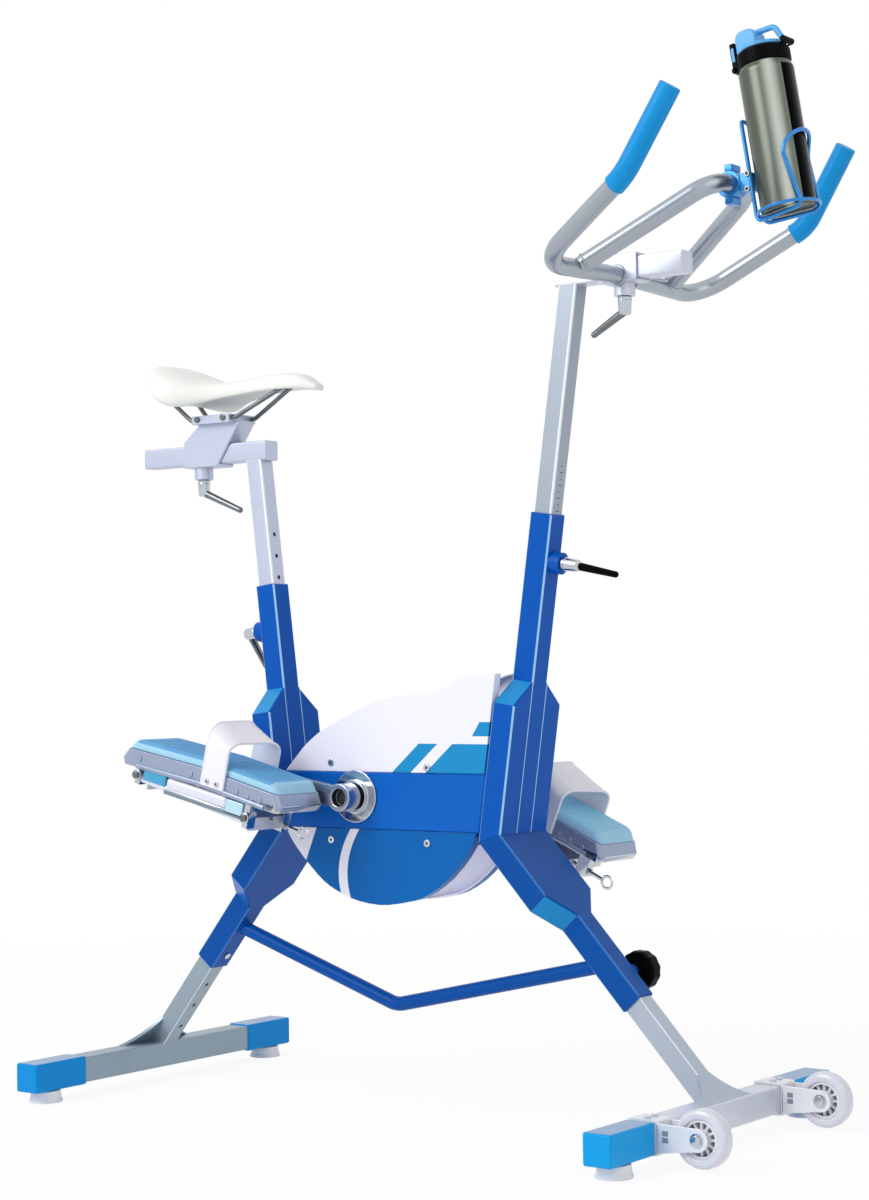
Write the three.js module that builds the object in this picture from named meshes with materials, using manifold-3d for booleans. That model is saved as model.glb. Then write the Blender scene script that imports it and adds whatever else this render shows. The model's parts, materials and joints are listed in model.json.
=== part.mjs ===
// A pedalling bike that stands in a swimming pool. Millimetres, +Z up, +X forward, +Y to the rider's left.
// The pieces are placed about a point on the floor midway between the two foot bars, in the plane of
// symmetry, and the whole group is then moved along X until that point is under the middle of its box.
import * as THREE from 'three';
import { mergeVertices } from 'three/addons/utils/BufferGeometryUtils.js';
import Module from 'manifold-3d';

const wasm = await Module();
wasm.setup();

const degree = Math.PI / 180;
const half = 0.5;

// Clearances between pieces that touch, slide, turn or only pass each other.
const fit = { touch: 0.3, slide: 0.5, turn: 0.3, overrun: 6 };
// Facets of round work, from large bodies to thin wire, and of the bends and edges of outlines.
const facets = { large: 20, round: 14, small: 10, thin: 8, wire: 6, corner: 2, bend: 4, edge: 1 };

// The two places where a column meets a leg, and how the four axes lean from the vertical.
const junction = { frontX: 178.3, frontZ: 398, rearX: -216, rearZ: 403.1 };
const lean = {
  frontColumn: 8.47 * degree,
  rearColumn: -6.85 * degree,
  frontLeg: 137.16 * degree,
  rearLeg: -141.06 * degree,
};

// Square sleeves with wider cheeks at the junctions. Lengths run from the junction along each axis.
const sleeve = { outer: 36, wall: 2.5, edge: 2.2, cheekWidth: 116 };
const frontColumn = { length: 457, cheek: 189, taper: 32, boreStart: 60 };
const rearColumn = { length: 364, cheek: 170, taper: 36, boreStart: 60 };
const frontLeg = { length: 300, cheek: 118, taper: 39, boreStart: 90 };
const rearLeg = { length: 274, cheek: 109, taper: 41, boreStart: 84 };
const innerTube = { wall: 2, edge: 3, size: sleeve.outer - 2 * sleeve.wall - 2 * fit.slide };
const indexHole = { radius: 3.5, pitch: 33, first: 10, count: 3 };

// Box beams that tie the two columns, with the crank hub through both.
const beam = { inner: 24, outer: 58, low: 405, high: 487, wall: 3, edge: 1.5 };
const hub = {
  x: -56, z: 452, tubeRadius: 21, boreRadius: 15, flangeRadius: 38, flangeThick: 3, lip: 1,
  noseRadius: 24, noseEnd: 67, seatDepth: 15,
};
const bearing = { outer: 17, inner: 10.4, width: 12, chamfer: 1 };
const axle = { shoulder: 12.5, shoulderEnd: 50, end: 88, chamfer: 1 };
const crank = {
  length: 175, tilt: 9.3 * degree, bossRadius: 20, bossInner: 72, bossOuter: 100, socketRadius: 12.5,
  bevel: 2,
  armInner: 85, armOuter: 98, eyeRadius: 13, spindleRadius: 7, spindleEnd: 201, collarRadius: 8.5,
  collarEnd: 100.3,
};

// The fairing: an upper and a lower shell each side, outside the beams' inner faces.
const fairing = {
  outer: 56, wall: 3, rim: 12, rimWall: 2.4, start: -190, length: 350, topHeight: 112, bottomHeight: 108,
  frontGap: 3, steps: 28, tabSize: 26, tabThick: 3, tabInset: 13,
};
// Edges as shares of the length and of the height above or below the beam.
const upperShares = [
  [0, 0], [0.066, 0.21], [0.117, 0.36], [0.203, 0.54], [0.334, 0.72], [0.457, 0.88],
  [0.586, 0.97], [0.686, 1], [0.771, 1.01], [0.86, 1.11], [0.926, 1.21], [0.983, 1.25],
];
const lowerShares = [
  [0, 0], [0.029, 0.167], [0.094, 0.407], [0.191, 0.694], [0.274, 0.843], [0.374, 0.954],
  [0.506, 1], [0.631, 0.944], [0.731, 0.852], [0.846, 0.611], [0.949, 0.25], [0.986, 0],
];
const screwPlace = { rearX: -103, frontX: 71 };

// The bent round bar that braces the two legs.
const brace = { radius: 10.5, bendX: -30, bendZ: 147, bendRadius: 45, rearFromEnd: 76, frontFromEnd: 68 };

// Clamp levers: one on each column, one under the saddle and one under the handlebar.
const lever = {
  studRadius: 5, hubRadius: 10, hubTop: 8.5, hubLength: 26, neck: 6, armRoot: 6, armTip: 4.6,
  collarRadius: 14.5, collarHeight: 18, bossRadius: 15.5, bossHeight: 16,
};
const columnLever = {
  fromEnd: 67,
  front: { arm: 54, rise: 34, angle: 82 * degree }, rear: { arm: 60, rise: 4, angle: 144 * degree },
};
const underLever = { saddle: { arm: 73, rise: 30 }, bar: { arm: 50, rise: 28 } };
const knob = {
  fromEnd: 46, radius: 25, lobeRadius: 8, lobeOut: 3, lobes: 6, thick: 20, dish: 4, neckRadius: 12,
  neckLength: 18,
  studRadius: 5, studGap: 1.5, bossRadius: 11, bossHeight: 8, offset: 6,
};

// Saddle, its mast and the block that slides on the mast's cross beam.
const mast = { overlap: 190, beamRear: -506, beamFront: -258, beamLow: 954.5 };
const seatBlock = {
  rear: -420, slantX: -386, topFront: -305, front: -352, wall: 4, knee: 40, rise: 67, width: 38,
  edge: 1.5, collarX: -395,
};
const seatBlockLow = mast.beamLow - fit.slide - seatBlock.wall;
const seatBlockTop = seatBlockLow + seatBlock.rise;
const rail = {
  radius: 3.5, spread: 23, rearSpread: 34, noseSpread: 9, clampRear: -400, rearX: -446, clampFront: -310,
  noseX: -225,
  rearZ: 1066, noseZ: 1064, bend: 16,
};
const clampPlate = { thick: 11, length: 76, width: 62, rear: -392 };
const saddle = {
  rear: -497, nose: -164, halfWidth: 82, low: 1026, crown: 1113, arch: 24, squareShare: 0.72,
  middleShare: 0.55, stations: 12, around: 14,
};
// The saddle's half width, top and skirt, as shares, at shares of its length from the rear.
const saddleShares = [
  [0, 0.16, 0.86, 0.72], [0.05, 0.36, 0.96, 0.54], [0.12, 0.68, 1, 0.34], [0.2, 0.94, 0.92, 0.14],
  [0.28, 1, 0.8, 0.03],
  [0.36, 0.84, 0.68, 0.03], [0.46, 0.58, 0.61, 0.13], [0.6, 0.38, 0.62, 0.22], [0.76, 0.29, 0.67, 0.28],
  [0.92, 0.25, 0.62, 0.31], [1, 0.14, 0.44, 0.32],
];

// Handlebar, its post and the block that slides on the post's stem.
const stem = { overlap: 240, rear: 272, front: 476, low: 1163 };
const barBlock = { centre: 377, length: 60, wall: 3.5, edge: 2 };
const bar = {
  radius: 12.5, crossZ: 1168, crossHalf: 200, hornX: 529, hornY: 241, hornZ: 1252, endX: 594, endY: 237,
  endZ: 1353,
  backX: 375, lowZ: 1163, bend: 60, upperBend: 62,
};
const loop = { baseY: 118, topX: 548, topY: 50, topZ: 1272, bend: 46, baseZ: 1165 };
const grip = { wall: 1.8, start: 22, endWall: 3 };

// Drinking bottle in a wire cage that is clamped to the handlebar's inner loop.
const bottle = {
  reach: 84, drop: 44, tilt: -9.4 * degree, radius: 36.75, height: 198, wall: 2, foot: 3, shoulder: 6,
  neckRadius: 31.5,
  neckHeight: 16, collarHeight: 21, collarRadius: 35, lidRadius: 31,
};
const lid = {
  spoutWidth: 30, spoutHeight: 30, spoutFront: 0, spoutSlope: 9, spoutEdge: 2, discHeight: 5, tongue: 9,
  loopX: 22,
  loopRadius: 4, loopBend: 8, hingeRadius: 4.5, hingeLength: 18, latchWidth: 16, latchHeight: 38,
  latchDepth: 9,
  latchRadius: 4.5, pinRadius: 1.8,
};
const cage = {
  wire: 2.8, gap: 1.2, backGap: 2.4, backHalf: 10, hookHeight: 134, bend: 9, legFoot: 38 * degree,
  legTop: 57 * degree,
  archStart: 66, archRise: 32, clampWall: 5, clampWidth: 24, reach: 35, earHeight: 9, earThick: 12,
};

// Foot bars, their caps and pads, and the transport wheels on the front one.
const foot = { x: 498, halfLength: 290, size: 38, wall: 2.5, edge: 3, low: 20 };
const cap = { size: 42.4, length: 105, edge: 3.5, bevel: 1.4, endWall: 3 };
const pad = { radius: 25, topRadius: 23, inset: 40, lip: 3 };
const gusset = { thick: 5, root: 4, front: { spread: 64, rise: 40 }, rear: { spread: 78, rise: 49 } };
const legTube = { overlap: 150 };
const wheel = {
  x: 577.5, capGap: 20.5, z: 42.2, radius: 38, width: 24, crown: 6, rimRadius: 26, hubRadius: 9, webThick: 10,
  holes: 5, holeRadius: 5, boreRadius: 4.3,
};
const fork = {
  wall: 3, armHalf: 15, gap: 3, axleRadius: 4, headRadius: 7.5, headThick: 4, slotInset: 12, slotHalf: 7,
  slotRadius: 3.5,
};

// Pedals, built with the spindle on the local Y axis and the top face up. Their two ends droop a little.
const pedal = {
  centreY: 155, halfWidth: 50, top: 31.8, padThick: 14, padEdge: 1.5, padHalf: 135, padFootHalf: 146,
  padHalfWidth: 47, waistHalf: 156, waist: 2, footHalf: 151, trayLow: -8, trayWall: 3, bearingRadius: 11,
  corner: 9, droop: 2 * degree, rearTilt: 13 * degree, frontTilt: 22 * degree,
};
const strap = { thick: 4, rear: 7, footDrop: 37, corner: 27 };
// The straps are soft and stand a little differently: each has its own reach, heights and twist.
const strapFit = {
  right: { front: 51, twist: 8, rearHeight: 56, frontHeight: 33 },
  left: { front: 64, twist: 16, rearHeight: 50, frontHeight: 31 },
};
const fin = {
  rear: -112, front: 92, hingeV: 42, hingeW: -26.5, barrel: 7, pin: 4, pinDepth: 12, thick: 3, inner: -44,
  flange: 17.5, lugThick: 10, lugHalf: 10, lean: 3 * degree,
};
const lockPin = {
  radius: 3, v: -14, w: -30, bossHalf: 8, bossRear: 103, bossFront: 122, length: 44, ringRadius: 9,
  ringWire: 2.2, collar: 5,
};

const colours = {
  frameBlue: { color: 0x1659c4, roughness: 0.35, metalness: 0.1 },
  steel: { color: 0xaab4c4, roughness: 0.32, metalness: 0.9 },
  chrome: { color: 0xd8dde4, roughness: 0.12, metalness: 1 },
  capBlue: { color: 0x1b86e0, roughness: 0.4, metalness: 0 },
  shellWhite: { color: 0xf0f0fa, roughness: 0.3, metalness: 0 },
  shellBlue: { color: 0x1c62bd, roughness: 0.35, metalness: 0 },
  strapWhite: { color: 0xf2eef2, roughness: 0.55, metalness: 0 },
  padBlue: { color: 0x5b9fc9, roughness: 0.7, metalness: 0 },
  rubberWhite: { color: 0xeeeeee, roughness: 0.6, metalness: 0 },
  wheelWhite: { color: 0xe9e9f2, roughness: 0.35, metalness: 0 },
  bracketWhite: { color: 0xe4e8ee, roughness: 0.35, metalness: 0.3 },
  saddleWhite: { color: 0xe9ece8, roughness: 0.6, metalness: 0 },
  black: { color: 0x101214, roughness: 0.45, metalness: 0 },
  lidBlue: { color: 0x5fb4ea, roughness: 0.35, metalness: 0 },
  cageBlue: { color: 0x2f8fd6, roughness: 0.3, metalness: 0.4 },
};

// A closed geometry as a solid that can be joined and cut.
function toSolid(geometry) {
  const plain = geometry.clone();
  plain.deleteAttribute('normal');
  plain.deleteAttribute('uv');
  const merged = mergeVertices(plain, 1e-4);
  const vertProperties = new Float32Array(merged.attributes.position.array);
  const triVerts = new Uint32Array(merged.index.array);
  return new wasm.Manifold(new wasm.Mesh({ numProp: 3, vertProperties, triVerts }));
}

function toGeometry(solid) {
  const { numProp, vertProperties, triVerts } = solid.getMesh();
  const places = new Float32Array((vertProperties.length / numProp) * 3);
  for (let i = 0; i * numProp < vertProperties.length; i += 1) {
    for (let k = 0; k < 3; k += 1) places[i * 3 + k] = vertProperties[i * numProp + k];
  }
  const geometry = new THREE.BufferGeometry();
  geometry.setAttribute('position', new THREE.BufferAttribute(places, 3));
  geometry.setIndex(new THREE.BufferAttribute(new Uint32Array(triVerts), 1));
  return geometry;
}

const common = (body, room) => toGeometry(toSolid(body).intersect(toSolid(room)));
const join = (...geometries) => toGeometry(geometries.map(toSolid).reduce((a, b) => a.add(b)));
const cut = (body, ...tools) => toGeometry(tools.map(toSolid).reduce((a, b) => a.subtract(b), toSolid(body)));
const turned = (geometry, matrix) => geometry.clone().applyMatrix4(matrix);
const moved = (geometry, x, y, z) => geometry.clone().translate(x, y, z);

// A frame whose Z axis leans by an angle from +Z towards +X.
function leaning(x, z, angle) {
  const matrix = new THREE.Matrix4().makeRotationY(angle);
  return matrix.setPosition(x, 0, z);
}

const frames = {
  frontColumn: leaning(junction.frontX, junction.frontZ, lean.frontColumn),
  rearColumn: leaning(junction.rearX, junction.rearZ, lean.rearColumn),
  frontLeg: leaning(junction.frontX, junction.frontZ, lean.frontLeg),
  rearLeg: leaning(junction.rearX, junction.rearZ, lean.rearLeg),
};

const world = (matrix, x, y, z) => new THREE.Vector3(x, y, z).applyMatrix4(matrix);

function boxBetween(x0, x1, y0, y1, z0, z1) {
  const box = new THREE.BoxGeometry(x1 - x0, y1 - y0, z1 - z0);
  return box.translate((x0 + x1) * half, (y0 + y1) * half, (z0 + z1) * half);
}

function outline(points) {
  return new THREE.Shape(points.map(([x, y]) => new THREE.Vector2(x, y)));
}

// A rectangle with round corners, centred on the origin.
function roundedBox(width, height, radius) {
  const x = width * half;
  const y = height * half;
  const shape = new THREE.Shape();
  shape.moveTo(x, y - radius);
  shape.absarc(x - radius, y - radius, radius, 0, Math.PI / 2, false);
  shape.absarc(-x + radius, y - radius, radius, Math.PI / 2, Math.PI, false);
  shape.absarc(-x + radius, -y + radius, radius, Math.PI, -Math.PI / 2, false);
  shape.absarc(x - radius, -y + radius, radius, -Math.PI / 2, 0, false);
  return shape;
}

// Extrudes a shape from z0 to z1, with an optional bevel that stays inside the outline.
function prism(shape, z0, z1, bevel = 0, curveSegments = facets.edge) {
  const options = { depth: z1 - z0 - 2 * bevel, curveSegments, bevelEnabled: bevel > 0 };
  const rounding = { bevelThickness: bevel, bevelSize: bevel, bevelOffset: -bevel, bevelSegments: 1 };
  const geometry = new THREE.ExtrudeGeometry(shape, { ...options, ...rounding });
  return geometry.translate(0, 0, z0 + bevel);
}

// Turns a prism so that its outline lies in Y and Z, and its depth along X.
const facingX = (geometry) => turned(
  geometry, new THREE.Matrix4().set(0, 0, 1, 0, 1, 0, 0, 0, 0, 1, 0, 0, 0, 0, 0, 1),
);
// Turns a prism so that its outline lies in X and Z, and its depth along -Y.
const facingY = (geometry) => turned(geometry, new THREE.Matrix4().makeRotationX(Math.PI / 2));

// An outline in X and Z, solid between two values of Y.
const plateXZ = (shape, y0, y1, bevel = 0, segments = facets.edge) =>
  facingY(prism(shape, -Math.max(y0, y1), -Math.min(y0, y1), bevel, segments));

// A round bar between two points, with its own radius at each end.
function rod(from, to, radius, sides = facets.small, endRadius = radius) {
  const start = new THREE.Vector3(...from);
  const end = new THREE.Vector3(...to);
  const span = end.clone().sub(start);
  const geometry = new THREE.CylinderGeometry(endRadius, radius, span.length(), sides);
  const turn = new THREE.Quaternion().setFromUnitVectors(
    new THREE.Vector3(0, 1, 0), span.clone().normalize(),
  );
  geometry.applyQuaternion(turn);
  const middle = start.add(end).multiplyScalar(half);
  return geometry.translate(middle.x, middle.y, middle.z);
}

// A solid of revolution about Y from radius and height pairs. A profile off the axis is closed on itself.
function revolve(points, sides = facets.round) {
  const profile = points.map(([r, y]) => new THREE.Vector2(r, y));
  if (THREE.ShapeUtils.area(profile) < 0) profile.reverse();
  if (profile.every((point) => point.x > 0)) profile.push(profile[0].clone());
  return new THREE.LatheGeometry(profile, sides);
}

// A path through chosen stations, each taken exactly once when a section is swept along it.
class StationPath extends THREE.Curve {
  constructor(stations) {
    super();
    this.stations = stations;
  }

  getPoint(t) {
    const last = this.stations.length - 1;
    const place = Math.min(Math.max(t, 0), 1) * last;
    const index = Math.min(Math.floor(place), last - 1);
    return this.stations[index].clone().lerp(this.stations[index + 1], place - index);
  }

  getPointAt(u) {
    return this.stations[Math.round(u * (this.stations.length - 1))].clone();
  }

  getTangentAt(u) {
    const index = Math.round(u * (this.stations.length - 1));
    const here = this.stations[index];
    const before = this.stations[index - 1];
    const after = this.stations[index + 1];
    const sum = new THREE.Vector3();
    if (before) sum.add(here.clone().sub(before).normalize());
    if (after) sum.add(after.clone().sub(here).normalize());
    return sum.normalize();
  }
}

// Stations of a route whose corners are bent to a radius.
function bentRoute(points, radii, perBend = facets.bend) {
  const corners = points.map((p) => new THREE.Vector3(...p));
  const stations = [corners[0]];
  for (let i = 1; i < corners.length - 1; i += 1) {
    const radius = Array.isArray(radii) ? radii[i - 1] : radii;
    const back = corners[i - 1].clone().sub(corners[i]).normalize();
    const ahead = corners[i + 1].clone().sub(corners[i]).normalize();
    const opening = back.angleTo(ahead);
    const centreDirection = back.clone().add(ahead).normalize();
    const centre = corners[i].clone().addScaledVector(centreDirection, radius / Math.sin(opening / 2));
    const start = corners[i].clone().addScaledVector(back, radius / Math.tan(opening / 2)).sub(centre);
    const axis = start.clone().cross(back).normalize();
    for (let k = 0; k <= perBend; k += 1) {
      const swing = -((Math.PI - opening) * k) / perBend;
      stations.push(centre.clone().add(start.clone().applyAxisAngle(axis, swing)));
    }
  }
  stations.push(corners[corners.length - 1]);
  return stations;
}

// A round section swept along stations. An arc gets two chords for each curve segment.
function bentBar(stations, radius, sides = facets.small) {
  const section = new THREE.Shape().absarc(0, 0, radius, 0, Math.PI * 2, false);
  const extrudePath = new StationPath(stations);
  const curveSegments = Math.round(sides * half);
  return new THREE.ExtrudeGeometry(section, { steps: stations.length - 1, extrudePath, curveSegments });
}

// Takes off what lies past the mitre plane between two axes that meet at the local origin.
function mitred(geometry, own, other) {
  const bend = other - own;
  const tilt = bend / 2 - Math.sign(bend) * (Math.PI / 2);
  const reach = 2 * sleeve.cheekWidth;
  const waste = boxBetween(-reach, reach, -reach, reach, -reach, fit.touch * half);
  return cut(geometry, waste.rotateY(tilt));
}

// A square sleeve that widens into cheeks at the junction.
function sleeveBody(size, own, other, extras = []) {
  const narrow = sleeve.outer * half;
  const wide = sleeve.cheekWidth * half;
  const taperEnd = size.cheek + size.taper;
  const face = outline([
    [-wide, -wide], [wide, -wide], [wide, size.cheek], [narrow, taperEnd], [narrow, size.length],
    [-narrow, size.length], [-narrow, taperEnd], [-wide, size.cheek],
  ]);
  const body = facingX(prism(face, -narrow, narrow, sleeve.edge));
  const bore = narrow - sleeve.wall;
  const hollow = boxBetween(-bore, bore, -bore, bore, size.boreStart, size.length + fit.overrun);
  const solid = extras.length ? join(body, ...extras) : body;
  return mitred(cut(solid, hollow, ...(size.holes || [])), own, other);
}

// The threaded boss of a clamp, standing on a sleeve's face at a height along its axis.
function sleeveBoss(along, direction) {
  const face = sleeve.outer * half;
  const from = [direction * (face - sleeve.wall * half), 0, along];
  return rod(from, [direction * (face + lever.bossHeight), 0, along], lever.bossRadius, facets.round);
}

function bossHole(along, direction, radius) {
  const face = sleeve.outer * half;
  return rod(
    [0, 0, along], [direction * (face + lever.bossHeight + fit.overrun), 0, along], radius, facets.small,
  );
}

function frontColumnSleeve() {
  const along = frontColumn.length - columnLever.fromEnd;
  const holes = [bossHole(along, 1, lever.studRadius + fit.turn)];
  const boss = sleeveBoss(along, 1);
  return sleeveBody({ ...frontColumn, holes }, lean.frontColumn, lean.frontLeg, [boss]);
}

function rearColumnSleeve() {
  const along = rearColumn.length - columnLever.fromEnd;
  const holes = [bossHole(along, -1, lever.studRadius + fit.turn)];
  const boss = sleeveBoss(along, -1);
  return sleeveBody({ ...rearColumn, holes }, lean.rearColumn, lean.rearLeg, [boss]);
}

const knobAlong = frontLeg.length - knob.fromEnd;

// The front leg's clamp boss stands on its left face.
function frontLegSleeve() {
  const face = sleeve.outer * half;
  const end = face + knob.bossHeight;
  const from = [-knob.offset, face - sleeve.wall, knobAlong];
  const boss = rod(from, [-knob.offset, end, knobAlong], knob.bossRadius, facets.round);
  const radius = knob.studRadius + fit.turn;
  const hole = rod([-knob.offset, 0, knobAlong], [-knob.offset, end + fit.overrun, knobAlong], radius);
  return sleeveBody({ ...frontLeg, holes: [hole] }, lean.frontLeg, lean.frontColumn, [boss]);
}

const rearLegSleeve = () => sleeveBody(rearLeg, lean.rearLeg, lean.rearColumn);

// Where a sleeve's face crosses a height, at a distance from its axis.
function faceX(x, z, angle, distance, height) {
  return x + (distance + (height - z) * Math.sin(angle)) / Math.cos(angle);
}

const columnFace = sleeve.outer * half + fit.touch;
const rearFaceX = (z) => faceX(junction.rearX, junction.rearZ, lean.rearColumn, columnFace, z);
const frontFaceX = (z) => faceX(junction.frontX, junction.frontZ, lean.frontColumn, -columnFace, z);

// One box beam: open at both ends, bored for the hub, with tabs that carry the fairing.
function sideBeam(side) {
  const ends = [
    [rearFaceX(beam.low), beam.low], [frontFaceX(beam.low), beam.low],
    [frontFaceX(beam.high), beam.high], [rearFaceX(beam.high), beam.high],
  ];
  const body = plateXZ(outline(ends), side * beam.inner, side * beam.outer, beam.edge);
  const tabOuter = fairing.outer - fairing.wall - fit.touch;
  const tabs = [];
  for (const x of [screwPlace.rearX, screwPlace.frontX]) {
    const low = beam.low - fairing.tabSize * half - fairing.tabInset;
    const high = beam.high + fairing.tabSize * half + fairing.tabInset;
    const x0 = x - fairing.tabSize * half;
    const ys = [side * (tabOuter - fairing.tabThick), side * tabOuter].sort((a, b) => a - b);
    tabs.push(boxBetween(x0, x0 + fairing.tabSize, ys[0], ys[1], low, high));
  }
  const middle = side * (beam.inner + beam.outer) * half;
  const cavity = (beam.outer - beam.inner) * half - beam.wall;
  const reach = 2 * (junction.frontX - junction.rearX);
  const hollow = boxBetween(
    -reach, reach, middle - cavity, middle + cavity, beam.low + beam.wall, beam.high - beam.wall,
  );
  const bore = rod(
    [hub.x, 0, hub.z], [hub.x, side * (beam.outer + fit.overrun), hub.z], hub.tubeRadius + fit.touch,
    facets.large,
  );
  return cut(join(body, ...tabs), hollow, bore);
}

// The hub: a tube through both beams with a chromed flange outside each.
function bottomBracket() {
  const face = beam.outer + fit.touch;
  const rim = face + hub.flangeThick;
  const seat = bearing.outer + fit.touch;
  const profile = [
    [hub.boreRadius, hub.noseEnd - hub.seatDepth], [seat, hub.noseEnd - hub.seatDepth],
    [seat, hub.noseEnd], [hub.noseRadius, hub.noseEnd], [hub.noseRadius, rim],
    [hub.flangeRadius - hub.lip, rim],
    [hub.flangeRadius, face], [hub.tubeRadius, face],
  ];
  const mirrored = profile.map(([r, y]) => [r, -y]).reverse();
  return moved(revolve([...profile, ...mirrored], facets.large), hub.x, 0, hub.z);
}

function hubBearing(side) {
  const c = bearing.chamfer;
  const near = hub.noseEnd - hub.seatDepth + fit.touch;
  const far = near + bearing.width;
  const profile = [
    [bearing.inner, near], [bearing.outer - c, near], [bearing.outer, near + c], [bearing.outer, far],
    [bearing.inner, far],
  ].map(([r, y]) => [r, side * y]);
  return moved(revolve(profile), hub.x, 0, hub.z);
}

// Points of an edge, from shares of a length along X and of a height along Z.
function edgePoints(shares, start, length, base, height) {
  const knots = shares.map(([along, up]) => new THREE.Vector2(start + along * length, base + up * height));
  return new THREE.SplineCurve(knots).getPoints(fairing.steps);
}

// Moves each point of a closed outline inwards, square to the edges that meet there.
function inset(points, distance) {
  const turn = Math.sign(THREE.ShapeUtils.area(points));
  return points.map((point, i) => {
    const into = point.clone().sub(points[(i + points.length - 1) % points.length]).normalize();
    const away = points[(i + 1) % points.length].clone().sub(point).normalize();
    const normal = new THREE.Vector2(-into.y - away.y, into.x + away.x);
    return point.clone().addScaledVector(normal, (turn * distance) / (1 + into.dot(away)));
  });
}

// A shell plate with a rim that turns inwards along its free edge, and none along the beam.
function fairingShell(side, points, base) {
  const inner = fairing.outer - fairing.wall;
  const deep = inner - fairing.rim;
  const whole = plateXZ(new THREE.Shape(points), side * deep, side * fairing.outer);
  const room = plateXZ(
    new THREE.Shape(inset(points, fairing.rimWall)), side * (deep - fit.overrun), side * inner,
  );
  const reach = 2 * fairing.length;
  const ys = [side * (deep - fit.overrun), side * inner].sort((a, b) => a - b);
  const open = boxBetween(
    -reach, reach, ys[0], ys[1], base - 2 * fairing.rimWall, base + 2 * fairing.rimWall,
  );
  return cut(whole, room, open);
}

function upperShell(side) {
  const base = beam.high + fit.touch;
  const edge = edgePoints(upperShares, fairing.start, fairing.length, base, fairing.topHeight);
  const tail = edge[edge.length - 1];
  const behind = (z) => frontFaceX(z) - fairing.frontGap;
  const corner = [new THREE.Vector2(behind(tail.y), tail.y), new THREE.Vector2(behind(base), base)];
  return fairingShell(side, [...edge, ...corner], base);
}

function lowerShell(side) {
  const base = beam.low - fit.touch;
  const edge = edgePoints(lowerShares, fairing.start, fairing.length, base, -fairing.bottomHeight);
  return fairingShell(side, edge, base);
}

// The axle that carries both crank arms, with shoulders that stop against the bearings.
function crankAxle() {
  const radius = bearing.inner - fit.turn;
  const profile = [
    [0, axle.end], [radius - axle.chamfer, axle.end], [radius, axle.end - axle.chamfer],
    [radius, axle.shoulderEnd], [axle.shoulder, axle.shoulderEnd],
  ];
  const mirrored = profile.map(([r, y]) => [r, -y]).reverse();
  return moved(revolve([...profile, ...mirrored]), hub.x, 0, hub.z);
}

const crankTurn = { [-1]: Math.PI + crank.tilt, 1: crank.tilt };

function crankPlace(side) {
  return new THREE.Matrix4().makeRotationY(crankTurn[side]).setPosition(hub.x, 0, hub.z);
}

// A bar with round ends of two radii, from the origin along X.
function taperedBlade(startRadius, endRadius, length) {
  const quarter = Math.PI / 2;
  const shape = new THREE.Shape();
  shape.absarc(0, 0, startRadius, quarter, 3 * quarter, false);
  shape.absarc(length, 0, endRadius, -quarter, quarter, false);
  return shape;
}

function crankArm(side) {
  const radius = bearing.inner;
  const end = axle.end + fit.touch;
  const boss = rod(
    [0, side * crank.bossInner, 0], [0, side * crank.bossOuter, 0], crank.bossRadius, facets.round,
  );
  const blade = taperedBlade(crank.bossRadius - crank.bevel, crank.eyeRadius, crank.length);
  const arm = plateXZ(blade, side * crank.armInner, side * crank.armOuter, crank.bevel, facets.bend);
  const inside = side * (crank.armInner + crank.bevel);
  const spindle = rod(
    [crank.length, inside, 0], [crank.length, side * crank.spindleEnd, 0], crank.spindleRadius,
  );
  const collar = rod(
    [crank.length, inside, 0], [crank.length, side * crank.collarEnd, 0], crank.collarRadius,
  );
  const bore = rod([0, 0, 0], [0, side * end, 0], radius, facets.round);
  const outside = side * (crank.bossOuter + fit.overrun);
  const socket = rod([0, side * end, 0], [0, outside, 0], crank.socketRadius, facets.round);
  return turned(cut(join(boss, arm, spindle, collar), bore, socket), crankPlace(side));
}

const pedalTilt = { [-1]: pedal.rearTilt, 1: pedal.frontTilt };

function pedalPlace(side) {
  const tip = new THREE.Vector3(crank.length, side * pedal.centreY, 0).applyMatrix4(crankPlace(side));
  return new THREE.Matrix4().makeRotationY(pedalTilt[side]).setPosition(tip);
}

// The fin hangs from its rear end, leaning a little more than the pedal.
function finPlace(side) {
  const lean = new THREE.Matrix4().makeTranslation(fin.rear, 0, fin.hingeW);
  lean.multiply(new THREE.Matrix4().makeRotationY(fin.lean));
  lean.multiply(new THREE.Matrix4().makeTranslation(-fin.rear, 0, -fin.hingeW));
  return pedalPlace(side).multiply(lean);
}

// A rectangle with its four corners cut off.
function chamferedRectangle(halfX, halfY, corner) {
  const points = [];
  for (const [sx, sy] of [[1, 1], [-1, 1], [-1, -1], [1, -1]]) {
    const along = [sx * (halfX - corner), sy * halfY];
    const across = [sx * halfX, sy * (halfY - corner)];
    points.push(...(sx * sy > 0 ? [across, along] : [along, across]));
  }
  return outline(points);
}

// Gives each vertex a new place.
function reshaped(geometry, place) {
  const positions = geometry.attributes.position;
  const point = new THREE.Vector3();
  for (let i = 0; i < positions.count; i += 1) {
    point.fromBufferAttribute(positions, i);
    place(point);
    positions.setXYZ(i, point.x, point.y, point.z);
  }
  return geometry;
}

const trayTop = pedal.top - pedal.padThick - fit.touch;
const droop = (x) => Math.abs(x) * Math.tan(pedal.droop);

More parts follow.
